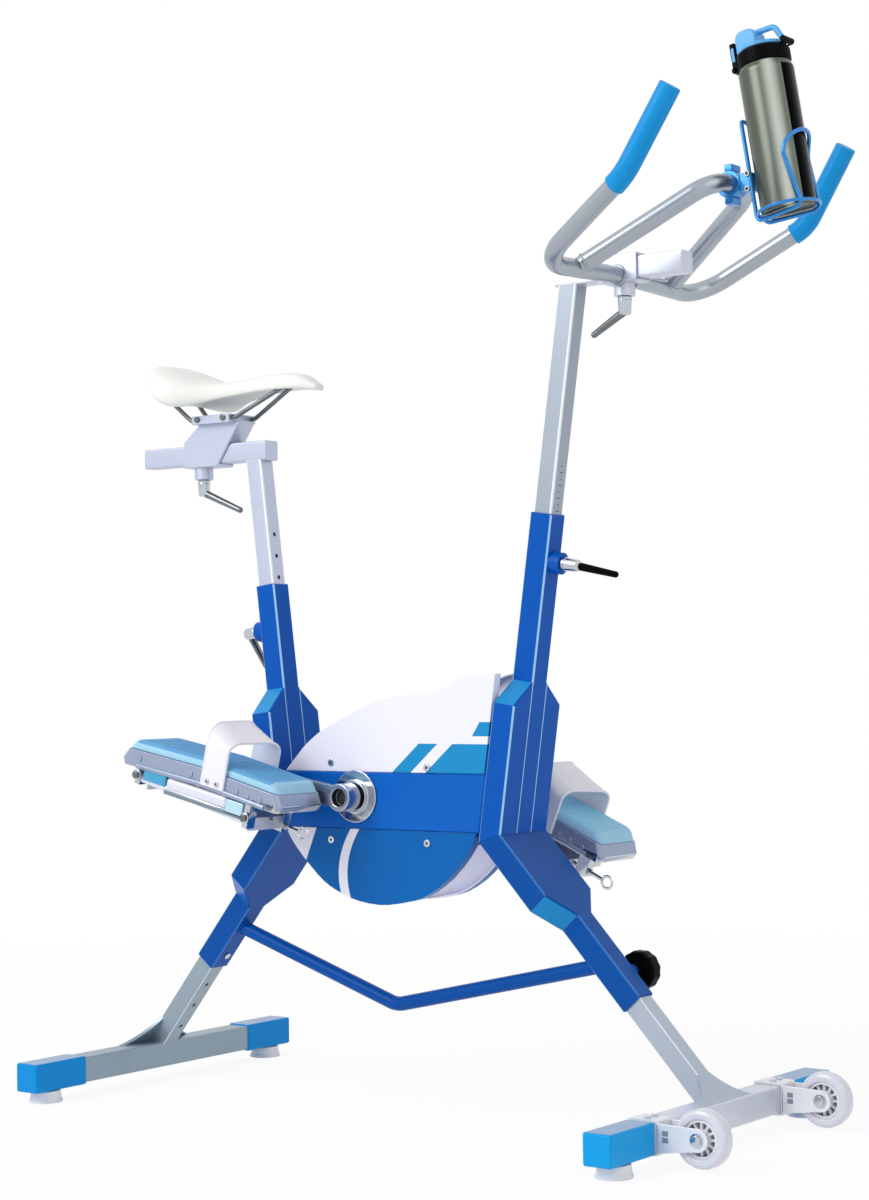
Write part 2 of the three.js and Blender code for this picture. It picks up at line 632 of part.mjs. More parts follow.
// A slab of the pedal from its side view. Each level is a half length and a height above the spindle.
function pedalSlab(levels, halfWidth) {
  const point = (x, z) => [x, z - droop(x)];
  const [low, high] = [levels[0][1], levels[levels.length - 1][1]];
  const front = levels.map(([x, z]) => point(x, z));
  const rear = levels.map(([x, z]) => point(-x, z)).reverse();
  const past = halfWidth + fit.overrun;
  const side = plateXZ(outline([...front, [0, high], ...rear, [0, low]]), -past, past);
  const reach = Math.max(...levels.map(([x]) => x));
  const room = prism(chamferedRectangle(reach, halfWidth, pedal.corner), -reach, reach);
  return common(side, room);
}

// The pedal's tray: a flared box, open below, on a bearing tube, with lugs for the fin and its pin.
function pedalPlatform(side) {
  const wall = pedal.trayWall;
  const outer = pedalSlab([
    [pedal.footHalf, pedal.trayLow], [pedal.waistHalf, pedal.waist], [pedal.padFootHalf, trayTop],
  ], pedal.halfWidth);
  const hollow = pedalSlab([
    [pedal.footHalf - wall, pedal.trayLow - fit.overrun], [pedal.waistHalf - wall, pedal.waist],
    [pedal.padFootHalf - wall, trayTop - wall],
  ], pedal.halfWidth - wall);
  const tray = cut(outer, hollow);
  const tubeEnd = pedal.halfWidth - fit.touch;
  const tube = rod([0, -tubeEnd, 0], [0, tubeEnd, 0], pedal.bearingRadius, facets.round);
  const v = side * fin.hingeV;
  const lugs = [];
  const plate = (x) => trayTop - wall * half - droop(x) + (x - fin.rear) * Math.tan(fin.lean);
  for (const [end, way] of [[fin.rear, -1], [fin.front, 1]]) {
    const face = end + way * fit.touch;
    const xs = [face, face + way * fin.lugThick].sort((a, b) => a - b);
    const ys = [v - side * fin.lugHalf, side * (pedal.halfWidth - wall * half)].sort((a, b) => a - b);
    const high = plate(face);
    lugs.push(boxBetween(xs[0], xs[1], ys[0], ys[1], fin.hingeW - fin.lugHalf, high));
    const inLug = face + way * fin.lugThick * half;
    lugs.push(rod([inLug, v, fin.hingeW], [end - way * fin.pinDepth, v, fin.hingeW], fin.pin, facets.small));
  }
  const pinV = side * lockPin.v;
  const middle = (lockPin.bossRear + lockPin.bossFront) * half;
  const boss = boxBetween(
    lockPin.bossRear, lockPin.bossFront, pinV - lockPin.bossHalf, pinV + lockPin.bossHalf,
    lockPin.w - lockPin.bossHalf, plate(middle),
  );
  const reach = 2 * pedal.waistHalf;
  const bore = rod([0, -reach, 0], [0, reach, 0], crank.spindleRadius + fit.turn, facets.round);
  const pinRadius = lockPin.radius + fit.turn;
  const pinBore = rod([0, pinV, lockPin.w], [reach, pinV, lockPin.w], pinRadius, facets.small);
  const carrier = turned(cut(join(...lugs, boss), pinBore), finPlace(side));
  return join(turned(cut(join(tray, tube), bore), pedalPlace(side)), carrier);
}

function pedalPad(side) {
  const pad = pedalSlab([
    [pedal.padFootHalf, pedal.top - pedal.padThick], [pedal.padHalf, pedal.top - pedal.padEdge],
    [pedal.padHalf - pedal.padEdge, pedal.top],
  ], pedal.padHalfWidth);
  return turned(pad, pedalPlace(side));
}

// The foot strap: an arch whose feet stand against the tray's sides, lower towards the toes.
function footStrap(side) {
  const inner = pedal.halfWidth + fit.touch;
  const outer = inner + strap.thick;
  const set = side < 0 ? strapFit.right : strapFit.left;
  const foot = pedal.top - strap.footDrop;
  const crown = set.rearHeight + pedal.top;
  const arch = new THREE.Shape();
  const quarter = Math.PI / 2;
  arch.moveTo(outer, foot);
  arch.absarc(outer - strap.corner, crown - strap.corner, strap.corner, 0, quarter, false);
  arch.absarc(-outer + strap.corner, crown - strap.corner, strap.corner, quarter, Math.PI, false);
  arch.lineTo(-outer, foot);
  arch.lineTo(-inner, foot);
  const bend = strap.corner - strap.thick;
  arch.absarc(-outer + strap.corner, crown - strap.corner, bend, Math.PI, quarter, true);
  arch.absarc(outer - strap.corner, crown - strap.corner, bend, quarter, 0, true);
  arch.lineTo(inner, foot);
  const band = facingX(prism(arch, strap.rear, set.front, 0, facets.corner));
  const fall = (set.frontHeight - set.rearHeight) / set.rearHeight;
  const sloped = (p) => {
    const forward = (p.x - strap.rear) / (set.front - strap.rear);
    const across = (p.y + outer) / (2 * outer);
    const rise = Math.max(p.z - pedal.top, 0) * fall * forward;
    return p.set(p.x + set.twist * forward * across, p.y, p.z + rise);
  };
  return turned(reshaped(band, sloped), pedalPlace(side));
}

// The fin: a shallow channel under the tray that swings about a barrel along its outer edge.
function pedalFin(side) {
  const v = side * fin.hingeV;
  const rear = fin.rear;
  const front = fin.front;
  const barrel = rod([rear, v, fin.hingeW], [front, v, fin.hingeW], fin.barrel, facets.small);
  const ys = [side * fin.inner, v].sort((a, b) => a - b);
  const top = fin.hingeW + fin.thick * half;
  const low = fin.hingeW - fin.flange;
  const shell = boxBetween(rear, front, ys[0], ys[1], low, top);
  const inside = side > 0 ? [ys[0] + fin.thick, ys[1] + fit.overrun] : [
    ys[0] - fit.overrun, ys[1] - fin.thick,
  ];
  const room = boxBetween(
    rear + fin.thick, front - fin.thick, inside[0], inside[1], low - fit.overrun, top - fin.thick,
  );
  const relief = fin.barrel + fin.thick;
  const gap = [v - side * relief, v + side * relief].sort((a, b) => a - b);
  const open = boxBetween(
    rear + fin.thick, front - fin.thick, gap[0], gap[1], low - fit.overrun, top - fin.thick,
  );
  const corners = [rear, front].map((x) => {
    const xs = [x - fin.thick, x + fin.thick];
    return boxBetween(xs[0], xs[1], gap[0], gap[1], low - fit.overrun, fin.hingeW - fin.barrel);
  });
  const bore = rod(
    [rear - fit.overrun, v, fin.hingeW], [front + fit.overrun, v, fin.hingeW], fin.pin + fit.turn,
    facets.small,
  );
  return turned(cut(join(cut(shell, room, open, ...corners), barrel), bore), finPlace(side));
}

// The pin that keeps the fin flat: pulled forwards by its ring to free the fin.
function finLockPin(side) {
  const v = side * lockPin.v;
  const w = lockPin.w;
  const end = lockPin.bossRear + lockPin.length;
  const shaft = rod([fin.front + fit.touch, v, w], [end, v, w], lockPin.radius, facets.small);
  const outside = lockPin.bossFront + fit.touch;
  const collar = rod([outside, v, w], [outside + lockPin.collar, v, w], lockPin.collar, facets.small);
  const ring = new THREE.TorusGeometry(lockPin.ringRadius, lockPin.ringWire, facets.wire, facets.small);
  ring.rotateX(Math.PI / 2).translate(end + lockPin.ringRadius, v, w);
  return turned(join(shaft, collar, ring), finPlace(side));
}

// A square tube along a leaning frame's axis.
function squareTube(from, to) {
  const size = innerTube.size;
  return prism(roundedBox(size, size, innerTube.edge), from, to);
}

function squareBore(from, to) {
  const size = innerTube.size - 2 * innerTube.wall;
  return boxBetween(-size * half, size * half, -size * half, size * half, from, to);
}

// A post that telescopes in a column, welded to a cross beam that runs along X at its top.
function postWithBeam(place, x, z, angle, column, size, low, rear, front) {
  const top = (low - z) / Math.cos(angle);
  const start = column.length - size.overlap;
  const high = low + innerTube.size;
  const reach = 2 * innerTube.size;
  const post = turned(squareTube(start, top + reach), place);
  const far = Math.max(Math.abs(rear), Math.abs(front));
  const waste = boxBetween(-far, far, -reach, reach, low + innerTube.wall, low + 2 * reach);
  const middle = (low + high) * half;
  const section = prism(roundedBox(innerTube.size, innerTube.size, innerTube.edge), rear, front);
  const cross = moved(facingX(section), 0, 0, middle);
  const wall = innerTube.wall;
  const bore = turned(squareBore(start - fit.overrun, top + wall), place);
  const inside = innerTube.size * half - wall;
  const hollow = boxBetween(rear + wall, front - wall, -inside, inside, low + wall, high - wall);
  const body = join(cut(post, waste), cross);
  const holes = size.holes.map(
    (s) => turned(rod([-reach, 0, s], [reach, 0, s], indexHole.radius, facets.thin), place),
  );
  return cut(body, bore, hollow, ...holes);
}

function saddlePost() {
  const holes = Array.from(
    { length: indexHole.count }, (_, i) => rearColumn.length + indexHole.first + i * indexHole.pitch,
  );
  const size = { overlap: mast.overlap, holes };
  const place = frames.rearColumn;
  return postWithBeam(
    place, junction.rearX, junction.rearZ, lean.rearColumn, rearColumn, size, mast.beamLow, mast.beamRear,
    mast.beamFront,
  );
}

function handlebarPost() {
  const size = { overlap: stem.overlap, holes: [] };
  const place = frames.frontColumn;
  return postWithBeam(
    place, junction.frontX, junction.frontZ, lean.frontColumn, frontColumn, size, stem.low, stem.rear,
    stem.front,
  );
}

// The square hole that slides on a cross beam.
function slideBore(rear, front, low) {
  const size = innerTube.size * half + fit.slide;
  const middle = low + innerTube.size * half;
  return boxBetween(rear - fit.overrun, front + fit.overrun, -size, size, middle - size, middle + size);
}

// The round collar under a sliding block that takes the clamp lever's stud.
function blockCollar(x, top) {
  return rod([x, 0, top - lever.collarHeight], [x, 0, top + fit.touch], lever.collarRadius, facets.round);
}

function collarBore(x, top) {
  const radius = lever.studRadius + fit.turn;
  return rod([x, 0, top - lever.collarHeight - fit.overrun], [x, 0, top + innerTube.size * half], radius);
}

function saddleCarriage() {
  const width = seatBlock.width * half;
  const side = outline([
    [seatBlock.rear, seatBlockLow], [seatBlock.front, seatBlockLow], [seatBlock.topFront, seatBlockTop],
    [seatBlock.slantX, seatBlockTop], [seatBlock.rear, seatBlockLow + seatBlock.knee],
  ]);
  const plate = railClamp();
  const body = join(
    plateXZ(side, -width, width, seatBlock.edge), blockCollar(seatBlock.collarX, seatBlockLow), plate,
  );
  const bore = slideBore(mast.beamRear, mast.beamFront, mast.beamLow);
  return cut(body, bore, collarBore(seatBlock.collarX, seatBlockLow));
}

const railZ = seatBlockTop + clampPlate.thick * half;

// One saddle rail: from the rear of the shell, down past the clamp, up into the nose.
function saddleRail(side, radius) {
  const route = [
    [rail.rearX, side * rail.rearSpread, rail.rearZ], [rail.clampRear, side * rail.spread, railZ],
    [rail.clampFront, side * rail.spread, railZ], [rail.noseX, side * rail.noseSpread, rail.noseZ],
  ];
  return bentBar(bentRoute(route, rail.bend, facets.corner), radius, facets.thin);
}

// Both rails, joined by the cross bar that stiffens them behind the clamp.
function saddleRails() {
  const x = rail.clampRear;
  const bar = rod([x, -rail.spread, railZ], [x, rail.spread, railZ], rail.radius, facets.thin);
  return join(saddleRail(-1, rail.radius), saddleRail(1, rail.radius), bar);
}

// The plate that grips both rails, welded on top of the sliding block.
function railClamp() {
  const width = clampPlate.width * half;
  const low = seatBlockTop - seatBlock.edge - fit.touch;
  const high = seatBlockTop + clampPlate.thick;
  const plate = boxBetween(clampPlate.rear, clampPlate.rear + clampPlate.length, -width, width, low, high);
  const clearance = rail.radius + fit.touch;
  return cut(plate, saddleRail(-1, clearance), saddleRail(1, clearance));
}

// A value between the stations of a list of shares.
function shareAt(stations, share, column) {
  const last = stations.length - 1;
  const index = Math.max(1, stations.findIndex((row, i) => row[0] >= share || i === last));
  const [from, to] = [stations[index - 1], stations[index]];
  const between = Math.min(Math.max((share - from[0]) / (to[0] - from[0]), 0), 1);
  const smooth = between * between * (3 - 2 * between);
  return from[column] + (to[column] - from[column]) * (between + (smooth - between) * half);
}

// The saddle: a closed skin from the raised rear to the nose, arched underneath for its rails.
function saddleBody() {
  const skin = new THREE.CylinderGeometry(1, 1, 1, saddle.around, saddle.stations);
  const height = saddle.crown - saddle.low;
  reshaped(skin, (p) => {
    const share = p.y + half;
    const width = saddle.halfWidth * shareAt(saddleShares, share, 1);
    const top = saddle.low + height * shareAt(saddleShares, share, 2);
    const low = saddle.low + height * shareAt(saddleShares, share, 3);
    const arch = saddle.arch * Math.sin(Math.PI * share);
    const across = Math.sign(p.x) * Math.abs(p.x) ** saddle.squareShare;
    const up = Math.sign(p.z) * Math.abs(p.z) ** saddle.squareShare;
    const belly = low + arch * (1 - across * across);
    const middle = low + (top - low) * saddle.middleShare;
    const z = up > 0 ? middle + (top - middle) * up : middle + (middle - belly) * up;
    p.set(saddle.rear + (saddle.nose - saddle.rear) * share, -width * across, z);
  });
  const clearance = rail.radius + fit.touch;
  return cut(skin, saddleRail(-1, clearance), saddleRail(1, clearance));
}

// A clamp lever with its stud along -Z and its arm along +X. The hub rests on the plane Z = 0.
function clampLever(studDepth, armLength, rise) {
  const gap = fit.touch;
  const stud = rod([0, 0, -studDepth], [0, 0, lever.neck], lever.studRadius, facets.thin);
  const body = rod([0, 0, gap], [0, 0, lever.hubLength], lever.hubRadius, facets.small, lever.hubTop);
  const start = lever.hubLength - lever.armRoot;
  const arm = rod([0, 0, start], [armLength, 0, start + rise], lever.armRoot, facets.wire, lever.armTip);
  const end = new THREE.SphereGeometry(lever.armTip, facets.wire, facets.bend);
  return join(stud, body, arm, end.translate(armLength, 0, start + rise));
}

// A lever that hangs under a block, its arm along X.
function hangingLever(x, top, direction, size) {
  const depth = lever.collarHeight + top.wall - fit.slide;
  const geometry = clampLever(depth, size.arm, size.rise);
  const turn = new THREE.Matrix4().makeRotationX(Math.PI);
  if (direction < 0) turn.premultiply(new THREE.Matrix4().makeRotationZ(Math.PI));
  return turned(geometry, turn.setPosition(x, 0, top.z - lever.collarHeight));
}

function saddleLever() {
  return hangingLever(seatBlock.collarX, { z: seatBlockLow, wall: seatBlock.wall }, 1, underLever.saddle);
}

function handlebarLever() {
  return hangingLever(
    barBlock.centre, { z: stem.low - fit.slide - barBlock.wall, wall: barBlock.wall }, -1, underLever.bar,
  );
}

// A lever on a column's face, its arm at an angle about the stud.
function columnLeverBody(frame, along, direction, size) {
  const depth = lever.bossHeight + sleeve.wall - fit.slide;
  const geometry = clampLever(depth, size.arm, size.rise);
  geometry.rotateZ(size.angle).rotateY((direction * Math.PI) / 2);
  const out = direction * (sleeve.outer * half + lever.bossHeight);
  return turned(moved(geometry, out, 0, along), frame);
}

const frontColumnLever = () =>
  columnLeverBody(frames.frontColumn, frontColumn.length - columnLever.fromEnd, 1, columnLever.front);
const rearColumnLever = () =>
  columnLeverBody(frames.rearColumn, rearColumn.length - columnLever.fromEnd, -1, columnLever.rear);

// The sliding block of the handlebar, with the two horns welded to its sides.
function handlebar() {
  const outer = innerTube.size + 2 * (fit.slide + barBlock.wall);
  const rear = barBlock.centre - barBlock.length * half;
  const middle = stem.low + innerTube.size * half;
  const section = prism(roundedBox(outer, outer, barBlock.edge), rear, rear + barBlock.length);
  const block = moved(facingX(section), 0, 0, middle);
  const low = middle - outer * half;
  const horns = [-1, 1].map((side) => bentBar(hornStations(side), bar.radius, facets.small));
  const body = join(block, ...horns, blockCollar(barBlock.centre, low));
  return cut(body, slideBore(rear, rear + barBlock.length, stem.low), collarBore(barBlock.centre, low));
}

// A horn's route from the block to its tip, and past the tip by a further reach.
function hornStations(side, reach = 0) {
  const inner = innerTube.size * half + fit.slide + barBlock.wall * half;
  const corner = new THREE.Vector3(bar.hornX, side * bar.hornY, bar.hornZ);
  const tip = new THREE.Vector3(bar.endX, side * bar.endY, bar.endZ);
  const past = tip.clone().sub(corner).setLength(reach);
  return bentRoute([
    [barBlock.centre, side * inner, bar.crossZ], [bar.backX, side * bar.crossHalf, bar.lowZ],
    corner.toArray(), tip.add(past).toArray(),
  ], [bar.bend, bar.upperBend]);
}

// The loop between the horns that carries the bottle, cut to sit on the cross bar.
function innerLoop() {
  const route = [-1, 1].map((side) => [
    [bar.backX, side * loop.baseY, loop.baseZ], [loop.topX, side * loop.topY, loop.topZ],
  ]);
  const stations = bentRoute([...route[0], ...route[1].reverse()], loop.bend);
  const clearance = bar.radius + fit.touch;
  const seats = [-1, 1].map((side) => bentBar(hornStations(side), clearance, facets.large));
  return cut(bentBar(stations, bar.radius, facets.small), ...seats);
}

// A grip sleeve over the bent end of a horn, closed at the top.
function gripSleeve(side) {
  const back = new THREE.Vector3(bar.backX, side * bar.crossHalf, bar.lowZ);
  const corner = new THREE.Vector3(bar.hornX, side * bar.hornY, bar.hornZ);
  const start = corner.clone().add(back.sub(corner).setLength(grip.start));
  const tip = new THREE.Vector3(bar.endX, side * bar.endY, bar.endZ);
  tip.add(tip.clone().sub(corner).setLength(fit.touch + grip.endWall));
  const stations = bentRoute([start.toArray(), corner.toArray(), tip.toArray()], bar.upperBend);
  const clearance = bar.radius + fit.touch;
  return cut(bentBar(stations, clearance + grip.wall), bentBar(hornStations(side, fit.touch), clearance));
}

// The bottle's foot stands ahead of the loop's top and below it.
const bottleFrame = leaning(loop.topX + bottle.reach, loop.topZ - bottle.drop, bottle.tilt);

// The bottle's body: a cup of even wall, open at the neck.
function bottleBody() {
  const r = bottle.radius;
  const inside = r - bottle.wall;
  const rim = bottle.height + bottle.neckHeight;
  const points = [
    [0, 0], [r - bottle.foot, 0], [r, bottle.foot], [r, bottle.height - bottle.shoulder],
    [r - bottle.shoulder * half, bottle.height], [bottle.neckRadius, bottle.height], [bottle.neckRadius, rim],
    [bottle.neckRadius - bottle.wall, rim], [bottle.neckRadius - bottle.wall, bottle.height - bottle.wall],
    [inside, bottle.height - 2 * bottle.shoulder], [inside, bottle.foot + bottle.wall], [0, bottle.wall],
  ];
  return turned(revolve(points, facets.round).rotateX(Math.PI / 2), bottleFrame);
}

const collarLow = bottle.height + fit.touch;
const collarTop = collarLow + bottle.collarHeight;
const lidHinge = { x: bottle.collarRadius + lid.hingeRadius * half, z: collarTop + lid.hingeRadius * half };
const latchHinge = { x: -bottle.collarRadius - lid.latchDepth * half, z: collarLow + lid.latchRadius };

// The screw collar on the neck, with ears for the lid's hinge and for the latch.
function bottleCollar() {
  const r = bottle.collarRadius;
  const ring = revolve([
    [bottle.neckRadius + fit.touch, collarLow], [r, collarLow], [r, collarTop - bottle.foot],
    [r - bottle.foot, collarTop],
    [bottle.neckRadius - 2 * bottle.wall, collarTop],
    [bottle.neckRadius - 2 * bottle.wall, collarTop - bottle.foot],
    [bottle.neckRadius + fit.touch, collarTop - bottle.foot],
  ], facets.round).rotateX(Math.PI / 2);
  const ears = [];
  const pairs = [[lidHinge, lid.hingeLength, lid.hingeRadius], [latchHinge, lid.latchWidth, lid.latchRadius]];
  for (const [hinge, length, radius] of pairs) {
    const inner = length * half + fit.turn;
    const inward = Math.sign(hinge.x) * (r - bottle.foot);
    const xs = [inward, hinge.x].sort((a, b) => a - b);
    for (const side of [-1, 1]) {
      const ys = [side * inner, side * (inner + bottle.foot)].sort((a, b) => a - b);
      ears.push(rod([hinge.x, ys[0], hinge.z], [hinge.x, ys[1], hinge.z], radius, facets.thin));
      ears.push(
        boxBetween(xs[0], xs[1], ys[0], ys[1], hinge.z - radius, Math.min(hinge.z + radius, collarTop)),
      );
    }
    ears.push(
      rod(
        [hinge.x, -inner - fit.turn, hinge.z], [hinge.x, inner + fit.turn, hinge.z], lid.pinRadius,
        facets.wire,
      ),
    );
  }
  return turned(join(ring, ...ears), bottleFrame);
}

function hingeBarrel(hinge, length, radius) {
  return rod([hinge.x, -length * half, hinge.z], [hinge.x, length * half, hinge.z], radius, facets.thin);
}

function hingeBore(hinge, length) {
  const end = length * half + fit.overrun;
  return rod([hinge.x, -end, hinge.z], [hinge.x, end, hinge.z], lid.pinRadius + fit.turn, facets.wire);
}

// The flip lid: a disc with the spout cover and a carrying loop.
function bottleLid() {
  const low = collarTop + fit.touch;
  const disc = rod([0, 0, low], [0, 0, low + lid.discHeight], bottle.lidRadius, facets.round);
  const tongue = boxBetween(0, lidHinge.x, -lid.tongue, lid.tongue, low, low + lid.discHeight);
  const width = lid.spoutWidth * half;
  const spout = plateXZ(outline([
    [-bottle.lidRadius, low], [lid.spoutFront, low], [lid.spoutFront, low + lid.spoutHeight],
    [-bottle.lidRadius + lid.spoutSlope, low + lid.spoutHeight],
    [-bottle.lidRadius, low + lid.spoutHeight - lid.spoutSlope],
  ]), -width, width, lid.spoutEdge);
  const handle = bentBar(bentRoute([
    [lid.spoutFront - lid.loopRadius, 0, low + lid.spoutHeight - lid.loopRadius],
    [lid.loopX, 0, low + lid.spoutHeight - lid.loopRadius],
    [lidHinge.x - lid.loopRadius, 0, low + lid.discHeight * half],
  ], lid.loopBend, facets.corner), lid.loopRadius, facets.thin);
  const barrel = hingeBarrel(lidHinge, lid.hingeLength, lid.hingeRadius);
  const body = join(disc, tongue, spout, handle, barrel);
  return turned(cut(body, hingeBore(lidHinge, lid.hingeLength)), bottleFrame);
}

function lidLatch() {
  const x = latchHinge.x;
  const width = lid.latchWidth * half;
  const depth = lid.latchDepth * half;
  const barrel = hingeBarrel(latchHinge, lid.latchWidth, lid.latchRadius);
  const plate = plateXZ(outline([
    [x - depth, latchHinge.z], [x + depth - fit.slide, latchHinge.z],
    [x + depth - fit.slide, latchHinge.z + lid.latchHeight],
    [x - depth, latchHinge.z + lid.latchHeight],
  ]), -width, width, lid.spoutEdge);
  return turned(cut(join(plate, barrel), hingeBore(latchHinge, lid.latchWidth)), bottleFrame);
}

// One side of the cage: a wire from the hook, down the back, under the bottle, up and over its front.
function cageWire(side) {
  const r = bottle.radius + cage.wire + cage.gap;
  const back = -r - cage.backGap;
  const foot = -cage.wire - cage.gap;
  const at = (angle, height) => [r * Math.cos(angle), side * r * Math.sin(angle), height];
  const y = side * cage.backHalf;
  const lower = bentRoute([
    [back, 0, cage.hookHeight], [back, y, cage.hookHeight], [back, y, foot], at(cage.legFoot, foot),
    at(cage.legTop, cage.archStart),
  ], [cage.backHalf * half, cage.bend, cage.bend], facets.corner);
  const arch = Array.from({ length: facets.bend }, (_, i) => {
    const turn = ((i + 1) / facets.bend) * (Math.PI / 2);
    const place = at(cage.legTop * Math.cos(turn), cage.archStart + cage.archRise * Math.sin(turn));
    return new THREE.Vector3(...place);
  });
  return bentBar([...lower, ...arch], cage.wire, facets.wire);
}

// The cage, its back block and the split clamp on the handlebar's loop.
function bottleCage() {
  const wires = join(turned(cageWire(-1), bottleFrame), turned(cageWire(1), bottleFrame));
  const ringRadius = bar.radius + fit.touch + cage.clampWall;
  const width = cage.clampWidth * half;
  const ring = rod([loop.topX, -width, loop.topZ], [loop.topX, width, loop.topZ], ringRadius, facets.round);
  const blockEnd = loop.topX + cage.reach;
  const block = boxBetween(loop.topX, blockEnd, -width, width, loop.topZ - width, loop.topZ + width);
  const earReach = ringRadius + cage.earHeight;
  const thick = cage.earThick * half;
  const ears = boxBetween(
    loop.topX - thick, loop.topX + thick, -width, width, loop.topZ - earReach, loop.topZ + earReach,
  );
  const outside = 2 * width;
  const bore = rod(
    [loop.topX, -outside, loop.topZ], [loop.topX, outside, loop.topZ], bar.radius + fit.touch, facets.large,
  );
  return cut(join(wires, ring, block, ears), bore);
}

const footMiddle = foot.low + foot.size * half;
const wheelY = foot.halfLength - cap.length - wheel.capGap;

// A leg tube welded to its foot bar, with a gusset each side.
function footFrame(frame, side, angle, size, z, web) {
  const start = size.length - legTube.overlap;
  const barTop = foot.low + foot.size;
  const along = (z - footMiddle) / -Math.cos(angle);
  const reach = 2 * foot.size;
  const x = side * foot.x;
  const leg = turned(squareTube(start, along + reach), frame);
  const farther = 2 * foot.x;
  const under = boxBetween(-farther, farther, -reach, reach, -farther, barTop - foot.wall * half);
  const section = prism(roundedBox(foot.size, foot.size, foot.edge), -footBarHalf, footBarHalf);
  const crossBar = moved(facingY(section), x, 0, footMiddle);
  const inside = foot.size * half - foot.wall;
  const hollow = boxBetween(
    x - inside, x + inside, -foot.halfLength, foot.halfLength, footMiddle - inside, footMiddle + inside,
  );
  const end = (z - barTop) / -Math.cos(angle);
  const edge = innerTube.size * half;
  const plate = new THREE.Shape();
  plate.moveTo(-web.spread, end + gusset.root);
  plate.quadraticCurveTo(-edge, end, -edge, end - web.rise);
  plate.lineTo(edge, end - web.rise);
  plate.quadraticCurveTo(edge, end, web.spread, end + gusset.root);
  const flare = turned(
    facingX(prism(plate, -gusset.thick * half, gusset.thick * half, 0, facets.bend)), frame,
  );
  const bore = turned(squareBore(start - fit.overrun, end - foot.wall), frame);
  return cut(join(cut(join(leg, flare), under), crossBar), hollow, bore);
}

const footBarHalf = foot.halfLength - cap.endWall - fit.touch;

// A cup-shaped cap over one end of a foot bar.
function footCap(end, side) {
  const outer = prism(roundedBox(cap.size, cap.size, cap.edge), 0, cap.length, cap.bevel);
  const room = foot.size * half + fit.touch;
  const hollow = boxBetween(-room, room, -room, room, -fit.overrun, cap.length - cap.endWall);
  const body = facingY(cut(outer, hollow));
  if (side > 0) body.rotateZ(Math.PI);
  return moved(body, end * foot.x, side * (foot.halfLength - cap.length), footMiddle);
}

function footPad(end, side) {
  const top = footMiddle - cap.size * half - fit.touch;
  const points = [
    [0, 0], [pad.radius, 0], [pad.radius, pad.lip], [pad.topRadius, 2 * pad.lip], [pad.topRadius, top],
    [0, top],
  ];
  return moved(revolve(points).rotateX(Math.PI / 2), end * foot.x, side * (foot.halfLength - pad.inset), 0);
}

function transportWheel(side) {
  const edge = wheel.width * half;
  const web = wheel.webThick * half;
  const profile = [
    [wheel.boreRadius, -edge], [wheel.hubRadius, -edge], [wheel.hubRadius, -web], [wheel.rimRadius, -web],
    [wheel.rimRadius, -edge], [wheel.radius - wheel.crown, -edge], [wheel.radius, -edge + wheel.crown],
  ];
  const mirrored = profile.map(([r, y]) => [r, -y]).reverse();
  const body = revolve([...profile, ...mirrored]);
  const middle = (wheel.hubRadius + wheel.rimRadius) * half;
  const holes = Array.from({ length: wheel.holes }, (_, i) => {
    const turn = (i / wheel.holes) * Math.PI * 2;
    const [x, z] = [middle * Math.cos(turn), middle * Math.sin(turn)];
    return rod([x, -edge, z], [x, edge, z], wheel.holeRadius, facets.wire);
  });
  return moved(cut(body, ...holes), wheel.x, side * wheelY, wheel.z);
}

// The wheel's fork: a strap round the foot bar, two arms, and the axle bolt between them.
function wheelBracket(side) {
  const inner = wheel.width * half + fork.gap;
  const outer = inner + fork.wall;
  const room = foot.size * half + fit.touch;
  const skin = room + fork.wall;
  const ring = moved(
    facingY(prism(roundedBox(2 * skin, 2 * skin, foot.edge), -outer, outer)), foot.x, 0, footMiddle,
  );
  const arm = outline([
    [foot.x, footMiddle - skin], [foot.x + skin, footMiddle - skin],
    [wheel.x - fork.armHalf * half, wheel.z - fork.armHalf],
    [wheel.x - fork.armHalf * half, wheel.z + fork.armHalf], [foot.x + skin, footMiddle + skin],
    [foot.x, footMiddle + skin],
  ]);
  const eye = rod([wheel.x, -outer, wheel.z], [wheel.x, outer, wheel.z], fork.armHalf, facets.round);
  const blades = join(plateXZ(arm, -outer, outer), eye);
  const between = boxBetween(foot.x + skin, wheel.x + 2 * fork.armHalf, -inner, inner, 0, 2 * wheel.z);
  const far = outer + fit.overrun;
  const room2 = moved(
    facingY(prism(roundedBox(2 * room, 2 * room, foot.edge), -far, far)), foot.x, 0, footMiddle,
  );
  const slotX = foot.x + skin + fork.slotInset;
  const slot = boxBetween(
    slotX - fork.slotHalf, slotX + fork.slotHalf, -far, far, wheel.z - fork.slotRadius,
    wheel.z + fork.slotRadius,
  );
  const body = cut(join(ring, blades), between, room2, slot);
  const axleBolt = rod([wheel.x, -outer, wheel.z], [wheel.x, outer, wheel.z], fork.axleRadius, facets.small);
  const heads = [-1, 1].map((way) => {
    const face = way * (outer - fork.wall * half);
    return rod(
      [wheel.x, face, wheel.z], [wheel.x, way * (outer + fork.headThick), wheel.z], fork.headRadius,
      facets.wire,
    );
  });
  return moved(join(body, axleBolt, ...heads), 0, side * wheelY, 0);
}

